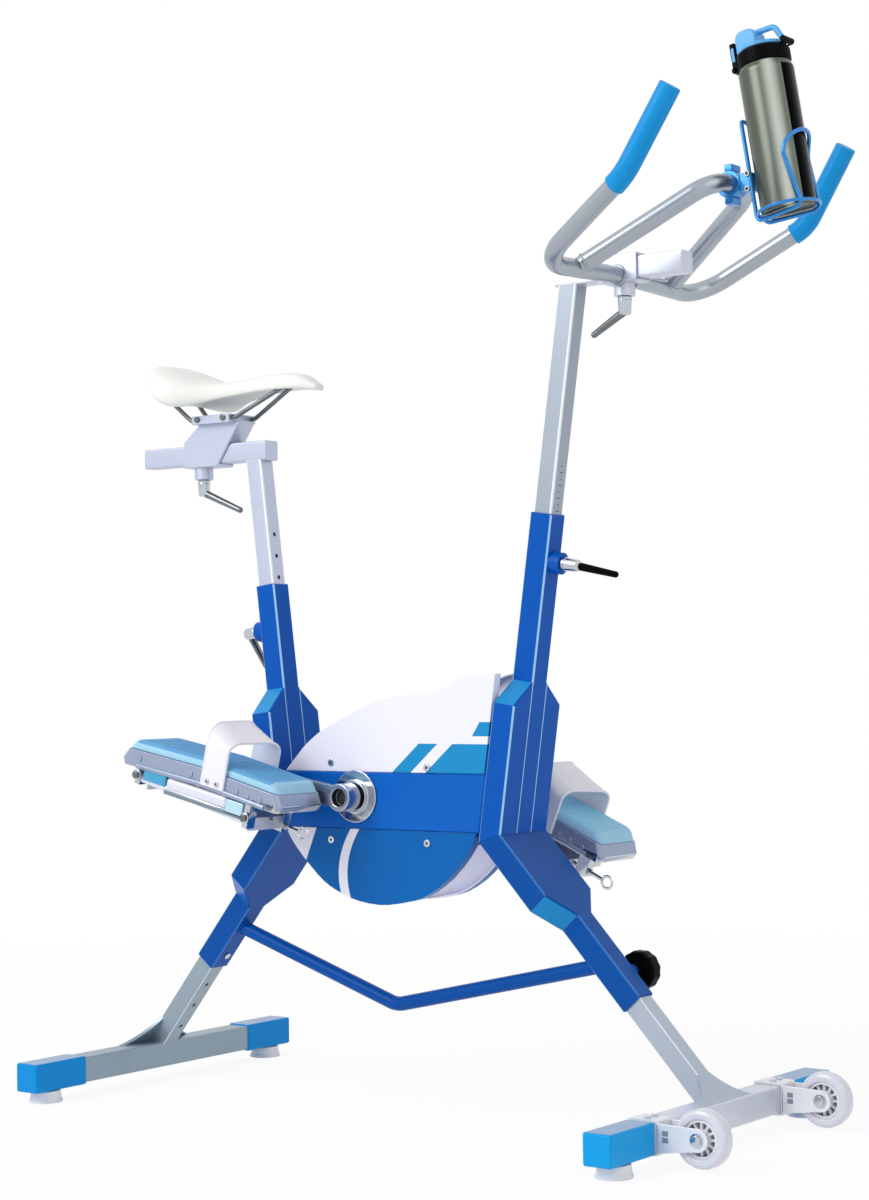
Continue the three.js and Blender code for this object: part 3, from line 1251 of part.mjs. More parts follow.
// The lobed knob that clamps the front leg.
function legKnob() {
  const face = sleeve.outer * half + knob.bossHeight;
  const start = face + knob.neckLength;
  const discStart = start - knob.dish;
  const core = rod(
    [0, discStart, 0], [0, discStart + knob.thick, 0], knob.radius - knob.lobeRadius * half, facets.round,
  );
  const lobes = Array.from({ length: knob.lobes }, (_, i) => {
    const turn = (i / knob.lobes) * Math.PI * 2;
    const middle = knob.radius + knob.lobeOut - knob.lobeRadius;
    const [x, z] = [middle * Math.cos(turn), middle * Math.sin(turn)];
    return rod([x, discStart, z], [x, discStart + knob.thick, z], knob.lobeRadius, facets.thin);
  });
  const neck = rod([0, face + fit.touch, 0], [0, discStart + knob.dish, 0], knob.neckRadius, facets.small);
  const inside = sleeve.outer * half + knob.studGap;
  const stud = rod([0, inside, 0], [0, start, 0], knob.studRadius, facets.small);
  const body = join(core, ...lobes, neck, stud);
  return turned(moved(body, -knob.offset, 0, knobAlong), frames.frontLeg);
}

// The brace between the legs, cut to sit on the sleeves' inner faces.
function lowerBrace() {
  const rearEnd = world(frames.rearLeg, 0, 0, rearLeg.length - brace.rearFromEnd);
  const frontEnd = world(frames.frontLeg, 0, 0, frontLeg.length - brace.frontFromEnd);
  const corner = [brace.bendX, 0, brace.bendZ];
  const stations = bentRoute([rearEnd.toArray(), corner, frontEnd.toArray()], brace.bendRadius);
  const tube = bentBar(stations, brace.radius, facets.small);
  const side = sleeve.outer * half + fit.touch;
  const sleeves = [frames.rearLeg, frames.frontLeg].map((frame) =>
    turned(boxBetween(-side, side, -side, side, 0, frontLeg.length), frame));
  return cut(tube, ...sleeves);
}

const group = new THREE.Group();

function add(name, geometry, finish) {
  const mesh = new THREE.Mesh(geometry, new THREE.MeshStandardMaterial(colours[finish]));
  mesh.name = name;
  group.add(mesh);
}

const sides = { right: -1, left: 1 };
const ends = { rear: -1, front: 1 };

add('front_column_sleeve', turned(frontColumnSleeve(), frames.frontColumn), 'frameBlue');
add('rear_column_sleeve', turned(rearColumnSleeve(), frames.rearColumn), 'frameBlue');
add('front_leg_sleeve', turned(frontLegSleeve(), frames.frontLeg), 'frameBlue');
add('rear_leg_sleeve', turned(rearLegSleeve(), frames.rearLeg), 'frameBlue');
add('lower_brace', lowerBrace(), 'frameBlue');
add('bottom_bracket', bottomBracket(), 'chrome');
add('crank_axle', crankAxle(), 'chrome');

for (const [name, side] of Object.entries(sides)) {
  add(`${name}_beam`, sideBeam(side), 'frameBlue');
  add(`${name}_upper_fairing`, upperShell(side), 'shellWhite');
  add(`${name}_lower_fairing`, lowerShell(side), 'shellBlue');
  add(`${name}_bearing`, hubBearing(side), 'chrome');
  add(`${name}_crank_arm`, crankArm(side), 'chrome');
  add(`${name}_pedal_platform`, pedalPlatform(side), 'steel');
  add(`${name}_pedal_pad`, pedalPad(side), 'padBlue');
  add(`${name}_foot_strap`, footStrap(side), 'strapWhite');
  add(`${name}_fin`, pedalFin(side), 'steel');
  add(`${name}_fin_lock_pin`, finLockPin(side), 'chrome');
  add(`${name}_grip`, gripSleeve(side), 'capBlue');
  add(`${name}_wheel`, transportWheel(side), 'wheelWhite');
  add(`${name}_wheel_bracket`, wheelBracket(side), 'bracketWhite');
}

add('saddle_post', saddlePost(), 'steel');
add('saddle_carriage', saddleCarriage(), 'steel');
add('saddle_rails', saddleRails(), 'steel');
add('saddle', saddleBody(), 'saddleWhite');
add('saddle_clamp_lever', saddleLever(), 'chrome');
add('rear_column_lever', rearColumnLever(), 'chrome');
add('front_column_lever', frontColumnLever(), 'chrome');
add('handlebar_post', handlebarPost(), 'steel');
add('handlebar', handlebar(), 'steel');
add('handlebar_loop', innerLoop(), 'steel');
add('handlebar_clamp_lever', handlebarLever(), 'chrome');
add('bottle_cage', bottleCage(), 'cageBlue');
add('bottle_body', bottleBody(), 'steel');
add('bottle_collar', bottleCollar(), 'black');
add('bottle_lid', bottleLid(), 'lidBlue');
add('bottle_latch', lidLatch(), 'black');

for (const [name, end] of Object.entries(ends)) {
  const size = end > 0 ? frontLeg : rearLeg;
  const frame = end > 0 ? frames.frontLeg : frames.rearLeg;
  const angle = end > 0 ? lean.frontLeg : lean.rearLeg;
  const z = end > 0 ? junction.frontZ : junction.rearZ;
  add(`${name}_foot_frame`, footFrame(frame, end, angle, size, z, gusset[name]), 'steel');
  for (const [hand, side] of Object.entries(sides)) {
    add(`${name}_${hand}_cap`, footCap(end, side), 'capBlue');
    add(`${name}_${hand}_pad`, footPad(end, side), 'rubberWhite');
  }
}
add('front_leg_knob', legKnob(), 'black');

// The origin goes under the middle of the whole object's box.
const box = new THREE.Box3().setFromObject(group);
group.position.x = -(box.min.x + box.max.x) * half;

export default group;
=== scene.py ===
# A pedalling bike for the pool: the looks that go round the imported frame.
# Every length in the piece dictionaries is in millimetres. Places count from the point on the floor
# midway between the two foot bars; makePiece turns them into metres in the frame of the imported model.
import json
import math
from functools import partial
import bpy
import bmesh
from mathutils import Matrix, Vector

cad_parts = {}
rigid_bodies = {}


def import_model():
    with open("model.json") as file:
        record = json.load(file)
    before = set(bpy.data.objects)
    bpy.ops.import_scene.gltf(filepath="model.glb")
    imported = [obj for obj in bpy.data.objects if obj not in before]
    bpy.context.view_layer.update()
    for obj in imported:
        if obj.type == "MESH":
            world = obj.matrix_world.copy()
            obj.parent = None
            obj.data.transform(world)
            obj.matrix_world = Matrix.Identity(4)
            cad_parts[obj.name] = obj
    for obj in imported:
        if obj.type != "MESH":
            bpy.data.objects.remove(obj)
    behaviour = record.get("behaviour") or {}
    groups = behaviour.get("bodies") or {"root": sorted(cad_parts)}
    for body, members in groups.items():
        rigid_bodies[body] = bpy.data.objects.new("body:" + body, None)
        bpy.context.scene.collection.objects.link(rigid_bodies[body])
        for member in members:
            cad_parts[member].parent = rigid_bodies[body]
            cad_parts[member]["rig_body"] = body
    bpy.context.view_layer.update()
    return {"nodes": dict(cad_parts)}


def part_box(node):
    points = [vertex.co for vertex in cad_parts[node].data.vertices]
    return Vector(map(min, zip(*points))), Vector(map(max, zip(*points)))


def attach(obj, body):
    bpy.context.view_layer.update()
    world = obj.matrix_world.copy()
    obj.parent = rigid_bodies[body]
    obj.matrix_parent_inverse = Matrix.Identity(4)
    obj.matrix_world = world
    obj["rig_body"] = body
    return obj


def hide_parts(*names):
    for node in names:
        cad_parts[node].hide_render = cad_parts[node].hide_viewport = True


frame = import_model()
cadNodes = frame["nodes"]
print("frame: loaded", len(cadNodes), "nodes")

hubX, hubZ = -56, 452
hubLow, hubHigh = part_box("bottom_bracket")
shiftX = (hubLow.x + hubHigh.x) / 2 - hubX * 0.001
toMetres = Matrix.Translation((shiftX, 0, 0)) @ Matrix.Scale(0.001, 4)
sides = {"right": -1, "left": 1}


# node groups that several finishes share
def newGroup(name, inputs, outputs):
    group = bpy.data.node_groups.new(name, "ShaderNodeTree")
    for label, kind, value in inputs:
        socket = group.interface.new_socket(label, in_out="INPUT", socket_type=kind)
        socket.default_value = value
    for label, kind in outputs:
        group.interface.new_socket(label, in_out="OUTPUT", socket_type=kind)
    return group, group.nodes.new("NodeGroupInput"), group.nodes.new("NodeGroupOutput")


def addNode(tree, kind, settings=None, **values):
    node = tree.nodes.new(kind)
    for key, value in (settings or {}).items():
        setattr(node, key, value)
    for key, value in values.items():
        node.inputs[key.replace("_", " ")].default_value = value
    return node


def mathNode(tree, operation, first, second=None):
    node = tree.nodes.new("ShaderNodeMath")
    node.operation = operation
    for place, value in enumerate((first, second)):
        if value is None:
            continue
        if isinstance(value, (int, float)):
            node.inputs[place].default_value = value
        else:
            tree.links.new(value, node.inputs[place])
    return node.outputs[0]


def makeToneGroup():
    # slow and fast drift in the tone of a colour, with a darker stain in the hollows of the noise
    group, start, end = newGroup(
        "toneDrift",
        [("Colour", "NodeSocketColor", (0.5, 0.5, 0.5, 1)), ("Shade", "NodeSocketColor", (0.3, 0.3, 0.3, 1)),
         ("Amount", "NodeSocketFloat", 0.2), ("Size", "NodeSocketFloat", 12)],
        [("Colour", "NodeSocketColor"), ("Mask", "NodeSocketFloat")])
    place = group.nodes.new("ShaderNodeTexCoord")
    wide = addNode(group, "ShaderNodeTexNoise", Detail=3, Roughness=0.55)
    fine = addNode(group, "ShaderNodeTexNoise", Scale=140, Detail=4, Roughness=0.6)
    link = group.links.new
    link(place.outputs["Object"], wide.inputs["Vector"])
    link(place.outputs["Object"], fine.inputs["Vector"])
    link(start.outputs["Size"], wide.inputs["Scale"])
    both = mathNode(group, "ADD", mathNode(group, "MULTIPLY", wide.outputs["Fac"], 0.7),
                    mathNode(group, "MULTIPLY", fine.outputs["Fac"], 0.3))
    spread = addNode(group, "ShaderNodeMapRange", From_Min=0.35, From_Max=0.7)
    link(both, spread.inputs["Value"])
    mask = mathNode(group, "MULTIPLY", spread.outputs["Result"], start.outputs["Amount"])
    mix = addNode(group, "ShaderNodeMix", {"data_type": "RGBA"})
    link(mask, mix.inputs["Factor"])
    link(start.outputs["Colour"], mix.inputs["A"])
    link(start.outputs["Shade"], mix.inputs["B"])
    link(mix.outputs["Result"], end.inputs["Colour"])
    link(mask, end.inputs["Mask"])
    return group


def makeGrainGroup():
    # a grain that can be stretched along one axis: brushing, moulding texture or orange peel
    group, start, end = newGroup(
        "surfaceGrain",
        [("Stretch", "NodeSocketVector", (1, 1, 1)), ("Size", "NodeSocketFloat", 300),
         ("Roughness", "NodeSocketFloat", 0.4), ("Spread", "NodeSocketFloat", 0.1)],
        [("Roughness", "NodeSocketFloat"), ("Height", "NodeSocketFloat")])
    place = group.nodes.new("ShaderNodeTexCoord")
    pull = addNode(group, "ShaderNodeVectorMath", {"operation": "MULTIPLY"})
    noise = addNode(group, "ShaderNodeTexNoise", Detail=5, Roughness=0.65)
    link = group.links.new
    link(place.outputs["Object"], pull.inputs[0])
    link(start.outputs["Stretch"], pull.inputs[1])
    link(pull.outputs[0], noise.inputs["Vector"])
    link(start.outputs["Size"], noise.inputs["Scale"])
    around = mathNode(group, "SUBTRACT", noise.outputs["Fac"], 0.5)
    wander = mathNode(group, "MULTIPLY", around, start.outputs["Spread"])
    link(mathNode(group, "ADD", start.outputs["Roughness"], wander), end.inputs["Roughness"])
    link(noise.outputs["Fac"], end.inputs["Height"])
    return group


def makeEdgeGroup():
    # a painted highlight on convex edges, from the mesh's own pointiness, broken up by noise
    group, start, end = newGroup(
        "paintedEdgeHighlight",
        [("Low", "NodeSocketFloat", 0.52), ("High", "NodeSocketFloat", 0.62), ("Amount", "NodeSocketFloat", 0.5)],
        [("Mask", "NodeSocketFloat")])
    shape = group.nodes.new("ShaderNodeNewGeometry")
    place = group.nodes.new("ShaderNodeTexCoord")
    noise = addNode(group, "ShaderNodeTexNoise", Scale=60, Detail=3)
    ramp = group.nodes.new("ShaderNodeMapRange")
    link = group.links.new
    link(place.outputs["Object"], noise.inputs["Vector"])
    link(shape.outputs["Pointiness"], ramp.inputs["Value"])
    link(start.outputs["Low"], ramp.inputs["From Min"])
    link(start.outputs["High"], ramp.inputs["From Max"])
    patchy = mathNode(group, "ADD", noise.outputs["Fac"], 0.3)
    broken = mathNode(group, "MULTIPLY", ramp.outputs["Result"], patchy)
    result = mathNode(group, "MULTIPLY", broken, start.outputs["Amount"])
    link(result, end.inputs["Mask"])
    return group


toneDrift, surfaceGrain, paintedEdgeHighlight = makeToneGroup(), makeGrainGroup(), makeEdgeGroup()


def useGroup(tree, group, **values):
    node = tree.nodes.new("ShaderNodeGroup")
    node.node_tree = group
    for key, value in values.items():
        node.inputs[key].default_value = value
    return node


def fromHex(code):
    channels = [((code >> shift) & 255) / 255 for shift in (16, 8, 0)]
    return tuple(c / 12.92 if c < 0.04045 else ((c + 0.055) / 1.055) ** 2.4 for c in channels) + (1,)


plainFinish = {"rough": 0.4, "metal": 0, "amount": 0.3, "size": 12, "grain": 300, "stretch": (1, 1, 1), "spread": 0.12,
               "bump": 0.05, "bumpDepth": 0.0001, "coat": 0, "coatRough": 0.05, "rub": 0, "edgeHighlightColour": 0xffffff,
               "pattern": None, "specular": 0.5, "sheen": 0, "subsurface": 0, "glow": 0}


def finish(name, colour, shade, own):
    look = {**plainFinish, **own}
    material = bpy.data.materials.new(name)
    material.use_nodes = True
    tree = material.node_tree
    link = tree.links.new
    shader = tree.nodes["Principled BSDF"]
    tone = useGroup(tree, toneDrift, Colour=fromHex(colour), Shade=fromHex(shade), Amount=look["amount"],
                    Size=look["size"])
    texture = useGroup(tree, surfaceGrain, Stretch=look["stretch"], Size=look["grain"], Roughness=look["rough"],
                       Spread=look["spread"])
    colourOut = tone.outputs["Colour"]
    if look["pattern"]:
        colourOut = look["pattern"](tree, colourOut)
    # convex edges take a paler colour, a painted highlight
    if look["rub"]:
        edge = useGroup(tree, paintedEdgeHighlight, Amount=look["rub"])
        colourOut = mixColours(tree, edge.outputs["Mask"], colourOut, fromHex(look["edgeHighlightColour"]))
    link(colourOut, shader.inputs["Base Color"])
    link(texture.outputs["Roughness"], shader.inputs["Roughness"])
    relief = addNode(tree, "ShaderNodeBump", Strength=look["bump"], Distance=look["bumpDepth"])
    link(texture.outputs["Height"], relief.inputs["Height"])
    link(relief.outputs["Normal"], shader.inputs["Normal"])
    for label, key in (("Metallic", "metal"), ("Specular IOR Level", "specular"), ("Coat Weight", "coat"),
                       ("Sheen Weight", "sheen"), ("Subsurface Weight", "subsurface")):
        shader.inputs[label].default_value = look[key]
    if look["coat"]:
        shader.inputs["Coat Roughness"].default_value = look["coatRough"]
    if look["subsurface"]:
        shader.inputs["Subsurface Scale"].default_value = 0.004
    if look["glow"]:  # painted light: the finish glows a little, as if lit, though it is no lamp
        link(colourOut, shader.inputs["Emission Color"])
        shader.inputs["Emission Strength"].default_value = look["glow"]
    return material


def place3d(tree, offset=(0, 0, 0), turn=(0, 0, 0)):
    # object coordinates with the origin moved to a place in millimetres and turned, as separate numbers
    coordinates = tree.nodes.new("ShaderNodeTexCoord")
    move = addNode(tree, "ShaderNodeMapping", {"vector_type": "TEXTURE"})
    move.inputs["Location"].default_value = (shiftX + offset[0] * 0.001, offset[1] * 0.001, offset[2] * 0.001)
    move.inputs["Rotation"].default_value = turn
    split = tree.nodes.new("ShaderNodeSeparateXYZ")
    tree.links.new(coordinates.outputs["Object"], move.inputs["Vector"])
    tree.links.new(move.outputs["Vector"], split.inputs["Vector"])
    return split.outputs


def mixColours(tree, mask, first, second):
    mix = addNode(tree, "ShaderNodeMix", {"data_type": "RGBA"})
    for value, socket in ((mask, "Factor"), (first, "A"), (second, "B")):
        if isinstance(value, (tuple, float, int)):
            mix.inputs[socket].default_value = value
        else:
            tree.links.new(value, mix.inputs[socket])
    return mix.outputs["Result"]


def between(tree, value, low, high):
    above = mathNode(tree, "GREATER_THAN", value, low)
    below = mathNode(tree, "LESS_THAN", value, high)
    return mathNode(tree, "MULTIPLY", above, below)


# the swoosh on the upper shell: two cyan bands that rise to the right, with a white gap between them
bandLook = {"cyan": 0x0C8CC8, "footX": 8, "footZ": 487, "slope": 0.86, "width": 33, "gap": 26, "kneeZ": 529,
            "topLow": 540, "topHigh": 560, "topX": 150, "topSlope": 0.67}


def upperBands(tree, colour):
    look, calc = bandLook, partial(mathNode, tree)
    x, y, z = (calc("MULTIPLY", out, 1000) for out in place3d(tree))
    rise = calc("MULTIPLY", calc("SUBTRACT", z, look["footZ"]), look["slope"] ** -1)
    along = calc("SUBTRACT", calc("SUBTRACT", x, look["footX"]), rise)
    underKnee = calc("LESS_THAN", z, look["kneeZ"])
    lower = calc("MULTIPLY", between(tree, along, 0, look["width"]), underKnee)
    second = calc("MULTIPLY", calc("GREATER_THAN", along, look["width"] + look["gap"]), underKnee)
    lean = calc("MULTIPLY", calc("SUBTRACT", z, look["topLow"]), look["topSlope"])
    start = calc("ADD", lean, look["topX"])
    upper = calc("MULTIPLY", calc("GREATER_THAN", x, start), between(tree, z, look["topLow"], look["topHigh"]))
    mask = calc("MAXIMUM", calc("MAXIMUM", lower, second), upper)
    return mixColours(tree, mask, colour, fromHex(look["cyan"]))


# the curved white stripe on the lower shell, and its pale rear end
stripeLook = {"white": 0xEDEEFA, "start": -60.2, "slope": -0.694, "bow": 0.00522, "half": 8, "edgeX": -132,
              "edgeBow": 0.42, "beamZ": 405}


def lowerStripe(tree, colour):
    look, calc = stripeLook, partial(mathNode, tree)
    x, y, z = (calc("MULTIPLY", out, 1000) for out in place3d(tree))
    down = calc("SUBTRACT", look["beamZ"], z)
    bowed = calc("MULTIPLY", calc("MULTIPLY", down, down), look["bow"])
    middle = calc("ADD", calc("MULTIPLY", down, look["slope"]), look["start"])
    offset = calc("ABSOLUTE", calc("SUBTRACT", x, calc("ADD", middle, bowed)))
    stripe = calc("LESS_THAN", offset, look["half"])
    pale = calc("LESS_THAN", x, calc("SUBTRACT", look["edgeX"], calc("MULTIPLY", down, look["edgeBow"])))
    return mixColours(tree, calc("MAXIMUM", stripe, pale), colour, fromHex(look["white"]))


# the bare dark panel on the bottle, and a painted reflection: a bright streak at one angle, and darker bands away from
# its lit side
bottleLook = {"x": 632, "z": 1228, "tilt": -9.4, "panelFrom": -30, "panelTo": 64, "bright": -59, "fade": 22,
              "paintedReflectionDepth": 0.85, "paintedReflectionShade": 0x363E33, "panel": 0x010203, "panelZ": (0.004, 0.19)}


def bottlePanelAndPaintedReflection(tree, colour):
    look, calc = bottleLook, partial(mathNode, tree)
    x, y, z = place3d(tree, (look["x"], 0, look["z"]), (0, math.radians(look["tilt"]), 0))
    turn = calc("MULTIPLY", calc("ARCTAN2", y, x), 180 / math.pi)
    mask = calc("MULTIPLY", between(tree, turn, look["panelFrom"], look["panelTo"]), between(tree, z, *look["panelZ"]))
    # painted reflection: the steel is painted darker away from the bright streak
    away = calc("ABSOLUTE", calc("SUBTRACT", turn, look["bright"]))
    fade = addNode(tree, "ShaderNodeMapRange", {"interpolation_type": "SMOOTHSTEP"}, From_Max=look["fade"],
                   To_Max=look["paintedReflectionDepth"])
    tree.links.new(away, fade.inputs["Value"])
    banded = mixColours(tree, fade.outputs["Result"], colour, fromHex(look["paintedReflectionShade"]))
    return mixColours(tree, mask, banded, fromHex(look["panel"]))


# what the finishes of one family share, and each finish with its two tones and its own values
families = {
    "plain": {},
    "paint": {"rough": 0.3, "amount": 0.35, "size": 7, "grain": 900, "spread": 0.08, "bumpDepth": 0.00008,
              "specular": 0.1},
    "tube": {"rough": 0.36, "metal": 0.5, "size": 8, "grain": 60, "spread": 0.15, "bump": 0.06, "bumpDepth": 0.00005},
    "brushed": {"rough": 0.3, "metal": 0.3, "amount": 0.35, "size": 14, "grain": 60, "stretch": (1, 24, 24),
                "bumpDepth": 0.00005},
    "metal": {"rough": 0.25, "metal": 0.3, "size": 20, "grain": 200, "bumpDepth": 0.00005},
    "plastic": {"rough": 0.33, "size": 10, "grain": 700, "spread": 0.1, "specular": 0.12},
    "shell": {"rough": 0.25, "size": 5, "grain": 700, "spread": 0.08, "bump": 0.04},
    "pad": {"rough": 0.62, "amount": 0.35, "size": 22, "grain": 500, "spread": 0.15, "bump": 0.3, "bumpDepth": 0.0003,
            "specular": 0.3},
    "soft": {"rough": 0.5, "size": 18, "grain": 500, "bump": 0.15, "bumpDepth": 0.0002}}
upright, endways, crossways = (22, 22, 1), (1, 22, 22), (22, 1, 22)
finishRows = {
    "framePaint": ("paint", 0x0658B8, 0x044CA6, {}),
    "legPaint": ("paint", 0x0450A4, 0x034492, {}),
    "beamPaint": ("paint", 0x0862C2, 0x0654B0, {"rough": 0.28, "specular": 0.12}),
    # a lighter blue for tapered panels, a painted reflection; paler blues for rounded corners, painted highlights
    "taperPaintedReflection": ("paint", 0x1490D2, 0x0E7EC2, {"rough": 0.28, "amount": 0.3, "size": 9, "specular": 0.2}),
    "edgePaint": ("paint", 0xA4D0F6, 0x7CB6EC, {"rough": 0.25, "amount": 0.3, "size": 30, "specular": 0.4}),
    "legEdgePaintedHighlight": ("paint", 0x3474BE, 0x2260AC, {"rough": 0.25, "amount": 0.3, "size": 30, "specular": 0.3}),
    "stemSteel": ("tube", 0xD2D6E4, 0xBAC0D2, {"stretch": endways}),
    "frontSteel": ("tube", 0x9EA8B4, 0x8894A2, {"stretch": upright}),
    "seatSteel": ("tube", 0xC0C6DA, 0xA9AFC6, {"metal": 0.65, "stretch": upright}),
    # the front foot's steel is painted lighter and the rear foot's darker: lit and shaded copies of one steel
    "frontLegSteel": ("tube", 0xB0BAC9, 0x9CA7B8, {"metal": 0.6, "stretch": crossways}),
    "rearLegSteel": ("tube", 0x98A8B4, 0x8292A0, {"metal": 0.6, "stretch": crossways}),
    "frontBarSteel": ("tube", 0xD2D6E2, 0xBCC2D2, {"stretch": crossways}),
    "rearBarSteel": ("tube", 0x90A2B0, 0x7A8C9C, {"metal": 0.6, "stretch": crossways}),
    # a pale steel for rounded corners, a painted highlight
    "steelEdgePaintedHighlight": ("metal", 0xEEF2F8, 0xDCE2EC, {"rough": 0.3, "size": 30, "grain": 300, "bump": 0.04}),
    "steelBar": ("metal", 0xAAB1BA, 0x868E98, {"rough": 0.3, "metal": 0.95, "amount": 0.25, "size": 9, "grain": 240,
                                               "stretch": (3, 3, 3), "spread": 0.06, "bump": 0.03,
                                               "bumpDepth": 0.00004}),
    "steelArm": ("brushed", 0xB4B9C6, 0x8B909E, {"rough": 0.2, "metal": 0.95, "bump": 0.04}),
    "traySteel": ("brushed", 0x9CA8C0, 0x808CA8, {"rough": 0.26, "metal": 0.45}),
    "finSteel": ("brushed", 0xE2E4F0, 0xC6CAE0, {"amount": 0.3}),
    "finCyan": ("metal", 0x4AA6D0, 0x2E8CBC, {}),
    "finPale": ("metal", 0xBFE2F2, 0x9FCEE6, {}),
    # a darker strip under the fin's lip, painted as shade
    "finPaintedShade": ("metal", 0x7E8E9A, 0x66757F, {"rough": 0.35, "metal": 0.5}),
    "chrome": ("metal", 0xC9CED6, 0x7C838E, {"rough": 0.1, "metal": 1, "size": 30, "spread": 0.08, "bump": 0.04}),
    "darkChrome": ("metal", 0x7C8284, 0x3C4144, {"rough": 0.2, "metal": 1, "amount": 0.45, "size": 40}),
    "capBlue": ("plastic", 0x0690DC, 0x047ECB, {}),
    # the front caps are painted a lighter blue than the rear ones, as painted light; the caps' tops take a pale
    # grey-blue, a painted reflection
    "capCyanPaintedLight": ("plastic", 0x0AA2E8, 0x0690DA, {"specular": 0.15}),
    "capTopPaintedReflection": ("plastic", 0x8AA8CC, 0x7698C0, {"specular": 0.3}),
    # the grips' paler edges are a painted highlight
    "gripBlue": ("plastic", 0x0C94DA, 0x087FC8, {"rough": 0.36, "size": 16, "grain": 500, "spread": 0.12, "bump": 0.08,
                                                 "bumpDepth": 0.00012, "specular": 0.15, "rub": 0.35,
                                                 "edgeHighlightColour": 0x7CC8F2}),
    "shellWhite": ("shell", 0xF0F0FC, 0xE3E3F3, {"coat": 0.06, "coatRough": 0.1, "specular": 0.2,
                                                 "pattern": upperBands}),
    # the inside of the lower shells glows a little, as painted light
    "shellInsidePaintedGlow": ("shell", 0xECECF8, 0xDEDEEE, {"rough": 0.35, "glow": 0.2}),
    "shellBlue": ("shell", 0x0464B2, 0x0458A4, {"rough": 0.27, "specular": 0.12, "pattern": lowerStripe}),
    "strapWhite": ("soft", 0xF0EEF6, 0xDEDAE6, {"bump": 0.12, "bumpDepth": 0.00015, "subsurface": 0.1}),
    # the pads' tops are painted darker than their sides, as painted shade; the left pad's top less so, as painted light
    "padTopPaintedShade": ("pad", 0x62A6D6, 0x5098C8, {}),
    "padTopLeftPaintedLight": ("pad", 0x98D4F0, 0x84C6E6, {}),
    "padSide": ("soft", 0xA4D2EA, 0x88C2E2, {"rough": 0.55, "size": 22, "specular": 0.3}),
    "rubberWhite": ("soft", 0xF0EFF2, 0xDAD8DF, {"rough": 0.6, "size": 25, "grain": 400, "subsurface": 0.1}),
    "tyreWhite": ("plain", 0xDFE1EC, 0xC8CAD8, {"rough": 0.25, "amount": 0.35, "size": 30, "bump": 0.06, "coat": 0.2,
                                                "subsurface": 0.2}),
    "hubWhite": ("plain", 0xF2F2F8, 0xE0E0EA, {"rough": 0.35, "amount": 0.35, "size": 60, "bump": 0.06}),
    # grey painted as shade: behind the wheel's spokes and in the fork's slots
    "hubPaintedShade": ("plain", 0x8A909C, 0x6E7480, {"rough": 0.5, "size": 60}),
    "bracketWhite": ("plain", 0xEEF0F6, 0xDADDE8, {"rough": 0.35, "metal": 0.15, "size": 20}),
    "saddleSkin": ("soft", 0xEFF1ED, 0xE0E2DC, {"size": 14, "grain": 650, "bump": 0.25, "sheen": 0.05,
                                                "subsurface": 0.08}),
    "black": ("plain", 0x050608, 0x0C0D10, {"rough": 0.36, "amount": 0.4, "size": 30, "grain": 500, "bump": 0.1,
                                            "specular": 0.04}),
    "lidBlue": ("plastic", 0x5CB0EA, 0x489CDC, {"rough": 0.32, "size": 30, "grain": 500, "specular": 0.35}),
    "cageBlue": ("plain", 0x1C8AD8, 0x1268B4, {"rough": 0.22, "metal": 0.35, "amount": 0.4, "size": 40, "spread": 0.1,
                                               "coat": 0.2}),
    # the bottle's bright streak and darker bands are a painted reflection
    "bottleSteel": ("metal", 0xC4CCC2, 0x9AA298, {"rough": 0.3, "metal": 0.85, "amount": 0.25, "size": 9, "grain": 90,
                                                  "stretch": (20, 20, 1), "bump": 0.06, "specular": 0.05,
                                                  "pattern": bottlePanelAndPaintedReflection}),
    # dark discs painted as the shade in holes and sockets; the depth marks on the post are printed in it too
    "darkHole": ("plain", 0x20242C, 0x0C0E12, {"rough": 0.6, "size": 40, "bump": 0.1})}
finishes = {name: finish(name, colour, shade, {**families[family], **own})
            for name, (family, colour, shade, own) in finishRows.items()}
print("finishes:", len(finishes))


# modelling helpers: each builds one shape as a bmesh, in millimetres
def leaning(x, z, degrees, y=0):
    return Matrix.Translation((x, y, z)) @ Matrix.Rotation(math.radians(degrees), 4, "Y")


alongY = Matrix.Rotation(-math.pi / 2, 4, "X")  # local Z becomes +Y


def vertsIn(made):
    return [part for part in made["geom"] if isinstance(part, bmesh.types.BMVert)]


def facesIn(made):
    return [part for part in made["geom"] if isinstance(part, bmesh.types.BMFace)]


def bevelled(bm, edges, width, segments, clamp=True):
    bmesh.ops.bevel(bm, geom=edges, offset=width, offset_type="OFFSET", segments=segments, profile=0.5,
                    affect="EDGES", clamp_overlap=clamp, material=-1)


def spun(profile, steps=48, closed=False):
    # a profile of radius and height pairs, turned about Z
    bm = bmesh.new()
    verts = [bm.verts.new((r, 0, h)) for r, h in profile]
    edges = [bm.edges.new(pair) for pair in zip(verts, verts[1:])]
    if closed:
        edges.append(bm.edges.new((verts[-1], verts[0])))
    bmesh.ops.spin(bm, geom=verts + edges, cent=(0, 0, 0), axis=(0, 0, 1), angle=math.tau, steps=steps,
                   use_merge=True)
    bmesh.ops.remove_doubles(bm, verts=bm.verts, dist=0.001)
    bmesh.ops.recalc_face_normals(bm, faces=bm.faces)
    return bm


def rounded(profile, radius, steps=4):
    # rounds the inner corners of a profile
    points = [Vector(p) for p in profile]
    out = [points[0]]
    for before, corner, after in zip(points, points[1:], points[2:]):
        back, ahead = before - corner, after - corner
        reach = min(radius, back.length * 0.45, ahead.length * 0.45)
        start, end = corner + back.normalized() * reach, corner + ahead.normalized() * reach
        for k in range(steps + 1):
            t = k / steps
            out.append(start * (1 - t) ** 2 + corner * 2 * t * (1 - t) + end * t * t)
    out.append(points[-1])
    return [tuple(p) for p in out]


